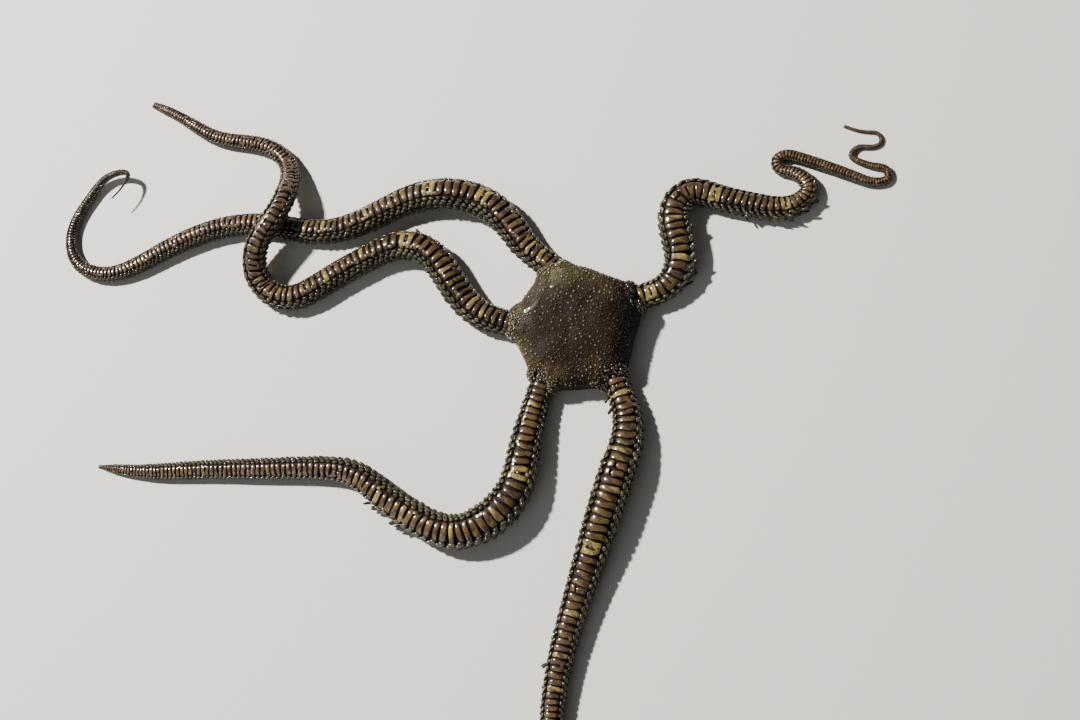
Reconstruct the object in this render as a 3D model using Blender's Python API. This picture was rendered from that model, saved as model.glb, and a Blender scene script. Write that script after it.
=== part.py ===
"""A brittle star at life size, resting on a flat floor with its five long arms in loose waves.

Sizes are in millimetres, and each mesh is scaled to metres when it is finished. +Z is up, and the
origin is the middle of the disc's underside, on the floor. The arms are numbered counterclockwise as
seen from above, and arm 1 leaves the disc at its upper left.
"""

import math
import random

import bmesh
import bpy
import numpy as np
from mathutils import Matrix, Vector

MM = 0.001
GAP = 0.3  # space kept between pieces that touch
SMOOTH_ANGLE = 35  # degrees; sharper edges stay sharp
SEED = 7

# Disc
DISC_HEIGHT = 6.2
DISC_POINTS = 50
EDGE_RADIUS = [10.8, 10.5, 11, 10.7, 11]  # middle of each edge, from the one after arm 1
LOBE_HALF_WIDTH = 2.9  # the disc runs out to each arm in a lobe
LOBE_REACH = 1.2  # how far a lobe runs past the arm's root before it is cut flat
LOBE_DROP = 0.5  # how much lower a lobe's end is than the edges beside it
LOBE_POWER = 6  # how late the lobe drops on its way out
TOP_SHIFT = (-0.5, 0.35)  # the top leans this way, so the opposite shoulder slopes more
DISC_RINGS = [  # share of the outline, share of the height, share of the shift
    (0.88, 0.0, 0.0),
    (0.96, 0.1, 0.0),
    (1.0, 0.36, 0.0),
    (0.985, 0.58, 0.2),
    (0.93, 0.77, 0.5),
    (0.82, 0.9, 0.8),
    (0.62, 0.965, 1.0),
    (0.34, 0.995, 1.0),
]
MOUTH_SLIT = dict(start=1.0, end=4.4, width=0.6, depth=0.9)
CUT_FROM = -1  # level below the floor from which the disc is cut

# Section of an arm, as shares of its width
ARM_HEIGHT = 0.78
WAIST = 0.46  # level of the widest line, as a share of the arm's height
SECTION_ANGLES = [25, 65, 105, 145, 215, 255, 295, 335]  # degrees from the top
SOLE_ANGLE = 145  # where the side of the section meets the flat sole

# Plates along an arm: a raised rim behind a groove, once for each pitch
PITCH_PER_WIDTH = 0.7
PITCH_PER_BEND = 0.6  # the pitch is shorter where the arm bends tightly
PITCH_LEAST = 0.4
RIM_AT = 0.84  # where the plate is highest, as a share of the pitch
GROOVE = 0.065  # depth of the grooves, as a share of the arm's width
TIP_ROUND = 0.55  # size of the last ring at the very tip, as a share of the arm there

# Spines, one on each side of each plate
SPINE_ANGLES = [92, 70, 106, 80]  # degrees from the top, taken in turn
SPINE_ROOT = 0.5  # place of the root inside the arm, as a share of the way out to the surface
SPINE_ROOT_AT = 0.35  # place of the root along its plate, as a share of the pitch
SPINE_ROOT_LIMIT = 0.28  # greatest radius of the root, as a share of the arm's width
SPINE_PROUD = 0.25  # how far the tip stands out
SPINE_PROUD_PER_WIDTH = 0.05
SPINE_SLANT = 1.45  # how far the tip lies towards the end of the arm, for each mm outwards
SPINE_THICKNESS = 0.62  # where it leaves the arm
SPINE_RADIUS = 0.67  # radius of a three-sided spine for its thickness
SPINE_WOBBLE = 0.18  # random share of its size

# Each arm: its route as (x, y, level of the sole), its width at shares of its length, and the shares
# of its length where it is divided.
ARMS = {
    "arm_1": dict(
        route=[
            (-4.5, 12, 0), (-8.7, 15.6, 0), (-13.8, 22.2, 0.5), (-21, 26, 0.8), (-30, 26, 0.3),
            (-38, 23, 0), (-46, 21, 0), (-57, 22.9, 0), (-64, 23.3, 0), (-78, 19.1, 0),
            (-90, 15.6, 0), (-94.8, 18.2, 0), (-96.3, 24, 0), (-93, 31, 0.3), (-88, 35, 1.4),
            (-85, 34.3, 2.6), (-85.6, 31.8, 3.4), (-87.6, 29.4, 3.6),
        ],
        widths=[
            (0, 4.7), (0.06, 5.3), (0.13, 5.8), (0.2, 5.7), (0.27, 5.1), (0.34, 4.7), (0.5, 4.1),
            (0.63, 3.5), (0.7, 3), (0.79, 2.3), (0.87, 1.8), (0.93, 1.2), (0.955, 0.9), (0.975, 0.4),
            (1, 0.3),
        ],
        cuts=[0.15, 0.3, 0.42, 0.56, 0.7, 0.79, 0.89],
    ),
    "arm_2": dict(
        route=[
            (-12.2, 1.7, 0), (-17.2, 3.7, 0), (-22.9, 10.4, 0.4), (-26.8, 15.5, 0.7),
            (-31.7, 17.2, 0.5), (-37.5, 15.7, 0), (-46.5, 11.1, 0), (-52.8, 8.7, 0), (-57.3, 10.6, 0.3),
            (-59, 14.5, 1.8), (-57.7, 19.2, 3.7), (-55.4, 22.6, 4.3), (-53.5, 26.6, 3.6),
            (-53.1, 31, 1.4), (-54.6, 35.5, 0), (-59.3, 38.9, 0), (-67.7, 41, 0), (-76, 46, 0),
            (-81.5, 49, 0),
        ],
        widths=[
            (0, 4.8), (0.05, 5.2), (0.11, 5.5), (0.17, 5.5), (0.23, 5.3), (0.3, 4.9), (0.41, 4.8),
            (0.5, 4.6), (0.58, 4.3), (0.66, 4), (0.73, 3.4), (0.8, 3), (0.86, 2.7), (0.905, 2.4),
            (0.95, 1.9), (0.98, 1.6), (1, 1.2),
        ],
        cuts=[0.15, 0.27, 0.42, 0.54, 0.68, 0.8],
    ),
    "arm_3": dict(
        route=[
            (-6.4, -10.3, 0), (-7.6, -14.5, 0), (-9.1, -21, 0.3), (-11.1, -28.8, 0.5),
            (-15.8, -33.7, 0.3), (-22.3, -35.3, 0), (-28, -32.8, 0), (-34.8, -28, 0),
            (-39.8, -24.3, 0), (-46, -23, 0), (-57, -22.7, 0), (-68, -22.4, 0),
            (-80, -22.2, 0), (-88.5, -20.9, 0),
        ],
        widths=[
            (0, 4.6), (0.09, 5.5), (0.17, 6.3), (0.23, 6.8), (0.3, 6.4), (0.38, 5.6), (0.46, 5.2),
            (0.58, 4.3), (0.73, 3.6), (0.85, 3.1), (0.89, 2.8), (0.92, 2.4), (0.96, 1.8), (0.98, 1.2),
            (1, 0.6),
        ],
        cuts=[0.19, 0.36, 0.53, 0.75],
    ),
    "arm_4": dict(
        route=[
            (7.1, -10.2, 0), (8.7, -15, 0), (9, -19, 0.2), (7.3, -25.5, 0.5), (4.5, -34, 0.4),
            (1, -44.3, 0), (-2.2, -54.5, 0), (-4.2, -64.5, 0), (-4.4, -72, 0), (-2.2, -81, 0),
            (0.8, -90, 0), (0.2, -98, 0), (-4, -104.5, 0), (-9, -108, 0),
        ],
        widths=[
            (0, 4.7), (0.08, 5.5), (0.16, 6.5), (0.23, 6.4), (0.3, 5.8), (0.4, 4.9), (0.57, 4.1),
            (0.8, 2.6), (0.92, 1.3), (1, 0.5),
        ],
        cuts=[0.16, 0.38, 0.6, 0.79],
    ),
    "arm_5": dict(
        route=[
            (12, 5.5, 0), (16.4, 7.4, 0), (18.5, 11, 0.3), (17.9, 17, 0.5), (17.8, 21, 0.5),
            (20.2, 23.9, 0.3), (25.5, 23, 0), (32, 21, 0), (36.5, 20.3, 0), (40, 21.4, 0),
            (41.5, 23.8, 0), (40.3, 26.1, 0), (38.2, 27.3, 0), (36.4, 28.1, 0), (36.1, 29.4, 0),
            (37.3, 30.3, 0), (39.7, 29.9, 0), (44.3, 28, 0), (50, 25.4, 0), (53.4, 24.4, 0),
            (55.2, 25.1, 0), (55.1, 26.5, 0), (53.2, 27.4, 0), (50.6, 28.4, 0), (49.1, 29.8, 0),
            (50.2, 31.1, 0), (52.6, 31.1, 0), (54.3, 31.9, 0), (54, 33.4, 0), (52, 34, 0),
            (48, 35.4, 0),
        ],
        widths=[
            (0, 4.6), (0.07, 5.2), (0.14, 5.7), (0.2, 5.4), (0.28, 4.8), (0.37, 4.5), (0.44, 3.8),
            (0.49, 2.9), (0.54, 2.2), (0.62, 2.1), (0.7, 2), (0.77, 1.5), (0.83, 1.2), (1, 0.6),
        ],
        cuts=[0.14, 0.27, 0.4, 0.49, 0.6, 0.76, 0.87],
    ),
}

MATERIALS = {  # linear colour and roughness
    "disc": ((0.052, 0.040, 0.026), 0.34),
    "arm": ((0.118, 0.086, 0.045), 0.38),
}


def clear_scene():
    for obj in list(bpy.data.objects):
        bpy.data.objects.remove(obj, do_unlink=True)


def make_material(name):
    colour, roughness = MATERIALS[name]
    material = bpy.data.materials.new(name)
    material.use_nodes = True
    shader = material.node_tree.nodes["Principled BSDF"]
    shader.inputs["Base Color"].default_value = (*colour, 1)
    shader.inputs["Roughness"].default_value = roughness
    shader.inputs["Metallic"].default_value = 0
    return material


def new_object(name, bm):
    bmesh.ops.recalc_face_normals(bm, faces=bm.faces)
    mesh = bpy.data.meshes.new(name)
    bm.to_mesh(mesh)
    bm.free()
    obj = bpy.data.objects.new(name, mesh)
    bpy.context.scene.collection.objects.link(obj)
    return obj


def loft(name, rings, apex=None):
    """One closed object through rings of equally many points, ending flat or at an apex."""
    bm = bmesh.new()
    loops = [[bm.verts.new(point) for point in ring] for ring in rings]
    count = len(loops[0])
    for low, high in zip(loops, loops[1:]):
        for i in range(count):
            after = (i + 1) % count
            bm.faces.new((low[i], low[after], high[after], high[i]))
    bm.faces.new(loops[0])
    if apex is None:
        bm.faces.new(loops[-1])
    else:
        top = bm.verts.new(apex)
        for i in range(count):
            bm.faces.new((loops[-1][i], loops[-1][(i + 1) % count], top))
    bmesh.ops.triangulate(bm, faces=bm.faces)
    return new_object(name, bm)


def boolean_with(obj, operation, others):
    """Joins the others to an object, or cuts them out of it, in one Boolean, and removes them."""
    group = bpy.data.collections.new(obj.name + "_pieces")
    bpy.context.scene.collection.children.link(group)
    for other in others:
        bpy.context.scene.collection.objects.unlink(other)
        group.objects.link(other)
    modifier = obj.modifiers.new("pieces", "BOOLEAN")
    modifier.operation = operation
    modifier.operand_type = "COLLECTION"
    modifier.collection = group
    modifier.solver = "EXACT"
    graph = bpy.context.evaluated_depsgraph_get()
    result = bpy.data.meshes.new_from_object(obj.evaluated_get(graph))
    obj.modifiers.clear()
    obj.data = result
    for other in others:
        bpy.data.objects.remove(other, do_unlink=True)
    bpy.data.collections.remove(group)
    keep_largest(obj)


def keep_largest(obj):
    """Leaves only the largest closed surface of a mesh."""
    bm = bmesh.new()
    bm.from_mesh(obj.data)
    left = set(bm.faces)
    surfaces = []
    while left:
        found = set()
        search = [left.pop()]
        while search:
            face = search.pop()
            found.add(face)
            near = {other for edge in face.edges for other in edge.link_faces}
            search.extend(near & left)
            left -= near
        surfaces.append(found)
    surfaces.sort(key=lambda faces: sum(face.calc_area() for face in faces))
    for faces in surfaces[:-1]:
        bmesh.ops.delete(bm, geom=list(faces), context="FACES")
    bm.to_mesh(obj.data)
    bm.free()


def finish_node(obj, origin, material, parent):
    """Scales the mesh to metres round its own origin, and gives it its place and material."""
    obj.data.transform(Matrix.Scale(MM, 4) @ Matrix.Translation(-Vector(origin)))
    obj.location = Vector(origin) * MM
    obj.parent = parent
    obj.data.materials.clear()
    obj.data.materials.append(material)
    obj.data.shade_smooth()
    obj.data.set_sharp_from_angle(angle=math.radians(SMOOTH_ANGLE))


class Curve:
    """A smooth curve through given points, read by its length; level stretches stay level."""

    STEP = 0.1
    LEAST_TURNING = 0.001

    def __init__(self, points):
        points = np.array(points, float)
        chords = np.linalg.norm(np.diff(points[:, :2], axis=0), axis=1)
        knots = np.concatenate([[0], np.cumsum(chords)])
        places = np.linspace(0, knots[-1], int(knots[-1] / self.STEP))
        flat = smooth_values(knots, points[:, :2], places)
        level = steady_values(knots, points[:, 2], places)
        self.points = np.column_stack([flat, level])
        steps = np.linalg.norm(np.diff(self.points, axis=0), axis=1)
        self.lengths = np.concatenate([[0], np.cumsum(steps)])
        self.length = self.lengths[-1]
        self.tangents = np.gradient(self.points, self.lengths, axis=0)
        headings = np.unwrap(np.arctan2(self.tangents[:, 1], self.tangents[:, 0]))
        self.turning = np.abs(np.gradient(headings, self.lengths))

    def point(self, place):
        return np.array([np.interp(place, self.lengths, self.points[:, i]) for i in range(3)])

    def frame(self, place):
        """Directions along the curve, to its right and up from it."""
        along = np.array([np.interp(place, self.lengths, self.tangents[:, i]) for i in range(3)])
        along /= np.linalg.norm(along)
        right = np.cross(along, (0, 0, 1))
        right /= np.linalg.norm(right)
        return along, right, np.cross(right, along)

    def bend_radius(self, place):
        return 1 / max(np.interp(place, self.lengths, self.turning), self.LEAST_TURNING)


def smooth_values(knots, values, places):
    """Values of the natural cubic spline."""
    count = len(knots)
    gaps = np.diff(knots)[:, None]
    steps = np.diff(values, axis=0) / gaps
    system = np.eye(count)
    right = np.zeros(values.shape)
    for i in range(1, count - 1):
        system[i, i - 1:i + 2] = gaps[i - 1, 0], 2 * (gaps[i - 1, 0] + gaps[i, 0]), gaps[i, 0]
        right[i] = 6 * (steps[i] - steps[i - 1])
    bends = np.linalg.solve(system, right)
    span = np.clip(np.searchsorted(knots, places, side="right") - 1, 0, count - 2)
    gap = gaps[span]
    b = (places[:, None] - knots[span][:, None]) / gap
    a = 1 - b
    straight = a * values[span] + b * values[span + 1]
    return straight + ((a**3 - a) * bends[span] + (b**3 - b) * bends[span + 1]) * gap**2 / 6


def steady_values(knots, values, places):
    """Values of a cubic that never overshoots its knots."""
    values = np.array(values, float)
    steps = np.diff(values) / np.diff(knots)
    slopes = np.zeros(len(values))
    for i in range(1, len(values) - 1):
        if steps[i - 1] * steps[i] > 0:
            slopes[i] = 2 / (1 / steps[i - 1] + 1 / steps[i])
    span = np.clip(np.searchsorted(knots, places, side="right") - 1, 0, len(knots) - 2)
    gap = knots[span + 1] - knots[span]
    t = (places - knots[span]) / gap
    ends = (2 * t**3 - 3 * t**2 + 1) * values[span] + (3 * t**2 - 2 * t**3) * values[span + 1]
    return ends + ((t**3 - 2 * t**2 + t) * slopes[span] + (t**3 - t**2) * slopes[span + 1]) * gap


class Arm:
    """The shape of one arm: its route, its width along it and its section."""

    def __init__(self, route, widths, cuts):
        self.curve = Curve(route)
        self.length = self.curve.length
        shares, self.width_values = np.array(widths, float).T
        self.width_knots = shares * self.length
        self.cuts = [share * self.length for share in cuts]

    def width(self, place):
        place = np.clip(np.array([place], float), 0, self.length)
        return steady_values(self.width_knots, self.width_values, place)[0]

    def section_point(self, base, frame, width, angle, inset=0.0, share=1.0):
        """A point of the section at an angle from its top, set in from the surface or towards the axis."""
        _, right, up = frame
        height = width * ARM_HEIGHT
        waist = height * WAIST
        turn = math.radians(angle)
        across = (width / 2 - inset) * math.sin(turn)
        if math.cos(turn) >= 0:
            rise = (height - waist - inset) * math.cos(turn)
        else:
            rise = waist * math.cos(turn) / -math.cos(math.radians(SOLE_ANGLE))
        return base + right * across * share + up * (waist + rise * share)

    def ring(self, place, inset=0.0, frame=None, base=None, scale=1.0):
        width = self.width(place) * scale
        frame = frame or self.curve.frame(place)
        base = self.curve.point(place) if base is None else base
        return [self.section_point(base, frame, width, angle, inset) for angle in SECTION_ANGLES]

    def flat_end(self, cut, way):
        """The ring that faces a cut, half a gap before it or after it."""
        frame = self.curve.frame(cut)
        base = self.curve.point(cut) + frame[0] * way * GAP / 2
        return self.ring(cut, GROOVE * self.width(cut), frame, base)

    def spine_proud(self, place):
        return SPINE_PROUD + SPINE_PROUD_PER_WIDTH * self.width(place)

    def spine_rise(self, place):
        """How far out a spine goes from its root to its tip."""
        return (1 - SPINE_ROOT) * self.width(place) / 2 + self.spine_proud(place)

    def plate_starts(self, start, end):
        """Places between start and end, a pitch apart, that begin the plates of one length."""
        places = [start]
        while places[-1] < end:
            near = places[-1]
            bend = PITCH_PER_BEND * self.curve.bend_radius(near)
            places.append(near + PITCH_LEAST + min(PITCH_PER_WIDTH * self.width(near), bend))
        stretch = (end - start) / (places[-1] - start)
        return [start + (place - start) * stretch for place in places]


def build_length(name, arm, start, end, is_tip, source):
    """One length of an arm, between two cuts, with its plates and spines."""
    plates = arm.plate_starts(start, end)
    rings = [arm.flat_end(start, 1)]
    for near, far in zip(plates, plates[1:]):
        if near > start:
            rings.append(arm.ring(near, GROOVE * arm.width(near)))
        rings.append(arm.ring(near + (far - near) * RIM_AT))
    if is_tip:
        rings.append(arm.ring(end, scale=TIP_ROUND))
    else:
        rings.append(arm.flat_end(end, -1))
    body = loft(name, rings)
    boolean_with(body, "UNION", build_spines(arm, plates, is_tip, source))
    return body


def build_spines(arm, plates, is_tip, source):
    """A spine on each side of each plate, where its tip stays short of the next length."""
    furthest = plates[-1] - (0 if is_tip else GAP)
    spines = []
    for number, (near, far) in enumerate(zip(plates, plates[1:])):
        for side in (1, -1):
            angle = SPINE_ANGLES[(number + side) % len(SPINE_ANGLES)] * side
            size = 1 + source.uniform(-SPINE_WOBBLE, SPINE_WOBBLE)
            root = near + (far - near) * SPINE_ROOT_AT
            tip = root + SPINE_SLANT * size * arm.spine_rise(root)
            if tip < furthest:
                spines.append(build_spine(arm, root, tip, angle, size))
    return spines


def build_spine(arm, root, tip, angle, size):
    """A three-sided spine, keeled on its outer side, from inside the arm to a tip that leans along it."""
    width = arm.width(root)
    low = arm.section_point(arm.curve.point(root), arm.curve.frame(root), width, angle, share=SPINE_ROOT)
    tip_width = arm.width(tip)
    share = 1 + arm.spine_proud(tip) * size * 2 / tip_width
    high = arm.section_point(arm.curve.point(tip), arm.curve.frame(tip), tip_width, angle, share=share)
    axis = (high - low) / np.linalg.norm(high - low)
    middle = arm.section_point(arm.curve.point(tip), arm.curve.frame(tip), tip_width, angle, share=0)
    keel = np.cross(np.cross(axis, high - middle), axis)
    keel /= np.linalg.norm(keel)
    beside = np.cross(axis, keel)
    taper = 1 - (1 - SPINE_ROOT) * width / 2 / arm.spine_rise(root)
    radius = min(size * SPINE_THICKNESS * SPINE_RADIUS / taper, SPINE_ROOT_LIMIT * width)
    turns = [math.tau * i / 3 for i in range(3)]
    base = [low + (keel * math.cos(turn) + beside * math.sin(turn)) * radius for turn in turns]
    return loft("spine", [base], apex=high)


def lobe_share(turn, arms):
    """How far a direction from the middle points into one of the lobes, from 0 to 1."""
    shares = []
    for arm in arms:
        root = arm.curve.point(0)
        off = (turn - math.atan2(root[1], root[0]) + math.pi) % math.tau - math.pi
        shares.append(math.exp(-(off * np.linalg.norm(root) / LOBE_HALF_WIDTH) ** 4))
    return max(shares)


def disc_radius(turn, arms):
    """Distance from the middle to the outline, which runs out to each arm in a lobe."""
    roots = [arm.curve.point(0) for arm in arms]
    turns = [math.atan2(root[1], root[0]) % math.tau for root in roots]
    after = turns[1:] + turns[:1]
    middles = [turn_before + (turn_after - turn_before) % math.tau / 2
               for turn_before, turn_after in zip(turns, after)]
    off = min(abs((turn - middle + math.pi) % math.tau - math.pi) for middle in middles)
    edge = np.interp(turn, middles, EDGE_RADIUS, period=math.tau) / math.cos(off)
    reaches = [np.linalg.norm(root) + LOBE_REACH for root in roots]
    lobe = np.interp(turn, turns, reaches, period=math.tau)
    share = lobe_share(turn, arms)
    return edge * (1 - share) + lobe * share


def build_disc(arms):
    """The domed disc, cut flat at each arm's root and with the slits of the mouth beneath."""
    turns = [math.tau * i / DISC_POINTS for i in range(DISC_POINTS)]
    rings = []
    for share, height, shift in DISC_RINGS:
        ring = []
        for turn in turns:
            radius = disc_radius(turn, arms) * share
            level = DISC_HEIGHT * height * (1 - LOBE_DROP * lobe_share(turn, arms) * share**LOBE_POWER)
            x, y = TOP_SHIFT[0] * shift, TOP_SHIFT[1] * shift
            ring.append((x + radius * math.cos(turn), y + radius * math.sin(turn), level))
        rings.append(ring)
    disc = loft("disc", rings, apex=(*TOP_SHIFT, DISC_HEIGHT))
    cutters = []
    for arm in arms:
        along, right, _ = arm.curve.frame(0)
        root = arm.curve.point(0) - along * GAP
        reach = (0, 3 * LOBE_REACH)
        levels = (CUT_FROM, DISC_HEIGHT)
        cutters.append(box("root_cut", root, along, right, reach, 2 * LOBE_HALF_WIDTH, levels))
        outward = root / np.linalg.norm(root)
        across = np.cross(outward, (0, 0, 1))
        reach = (MOUTH_SLIT["start"], MOUTH_SLIT["end"])
        levels = (CUT_FROM, MOUTH_SLIT["depth"])
        cutters.append(box("slit", np.zeros(3), outward, across, reach, MOUTH_SLIT["width"] / 2, levels))
    boolean_with(disc, "DIFFERENCE", cutters)
    return disc


def box(name, origin, along, across, reach, half_width, levels):
    """A block from one reach to another along a direction, between two levels."""
    rings = []
    for level in levels:
        corners = [(reach[0], -1), (reach[1], -1), (reach[1], 1), (reach[0], 1)]
        ring = [origin + along * far + across * side * half_width for far, side in corners]
        rings.append([point + np.array((0, 0, level)) for point in ring])
    cutter = loft(name, rings)
    cutter.hide_render = True
    cutter.display_type = "WIRE"
    return cutter


def main():
    clear_scene()
    parent = bpy.data.objects.new("brittle_star", None)
    bpy.context.scene.collection.objects.link(parent)
    source = random.Random(SEED)
    arms = [Arm(**ARMS[name]) for name in ARMS]
    disc_material = make_material("disc")
    finish_node(build_disc(arms), (0, 0, 0), disc_material, parent)
    for name, arm in zip(ARMS, arms):
        ends = [0, *arm.cuts, arm.length]
        for number, (start, end) in enumerate(zip(ends, ends[1:]), 1):
            node = f"{name}_length_{number}"
            length = build_length(node, arm, start, end, end == arm.length, source)
            finish_node(length, arm.curve.point(start), make_material("arm"), parent)


main()
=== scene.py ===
"""The looks of the brittle star: one dark wet skin, with its arm plates, spines and granules over it.

Sizes are in millimetres, in the frame of the solids, and become metres when a mesh is made. An arm's
surface is read by the length along it, the angle from its top and the height over it.
"""

import math

import bpy
import numpy as np
from mathutils import Matrix, Vector, noise


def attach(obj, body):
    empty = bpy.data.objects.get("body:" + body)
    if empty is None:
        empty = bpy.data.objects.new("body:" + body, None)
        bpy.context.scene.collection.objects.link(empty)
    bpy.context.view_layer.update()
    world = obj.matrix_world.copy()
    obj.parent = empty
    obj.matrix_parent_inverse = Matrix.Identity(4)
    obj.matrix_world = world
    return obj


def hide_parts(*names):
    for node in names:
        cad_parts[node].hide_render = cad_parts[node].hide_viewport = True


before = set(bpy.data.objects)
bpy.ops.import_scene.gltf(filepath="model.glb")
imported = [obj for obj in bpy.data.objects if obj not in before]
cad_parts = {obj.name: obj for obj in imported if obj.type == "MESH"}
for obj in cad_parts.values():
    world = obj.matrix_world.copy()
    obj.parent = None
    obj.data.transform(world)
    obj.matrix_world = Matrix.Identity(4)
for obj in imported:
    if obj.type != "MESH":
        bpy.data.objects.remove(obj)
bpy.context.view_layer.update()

MM = 0.001

# Disc, as in the solids
DISC_HEIGHT = 6.2
EDGE_RADIUS = [10.8, 10.5, 11, 10.7, 11]
LOBE_HALF_WIDTH = 2.9
LOBE_REACH = 0.3  # shorter than in the solids, where it is cut off
LOBE_DROP = 0.5
LOBE_POWER = 6
LOBE_SIDE_POWER = 4
TOP_SHIFT = (-0.5, 0.35)
DISC_RINGS = [  # share of the outline, share of the height, share of the shift
    (0.0, 0.0, 0.0),
    (0.5, 0.0, 0.0),
    (0.88, 0.0, 0.0),
    (0.96, 0.1, 0.0),
    (1.0, 0.36, 0.0),
    (0.985, 0.58, 0.2),
    (0.93, 0.77, 0.5),
    (0.82, 0.9, 0.8),
    (0.62, 0.965, 1.0),
    (0.34, 0.995, 1.0),
    (0.0, 1.0, 1.0),
]
UNDER_TO = 2.0  # the ring up to which the disc is flat beneath
TOP_RING = 4  # the ring from which the disc's surface counts as its top and sides

# Section of an arm, as in the solids
ARM_HEIGHT = 0.78
WAIST = 0.46
SOLE_ANGLE = 145

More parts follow.
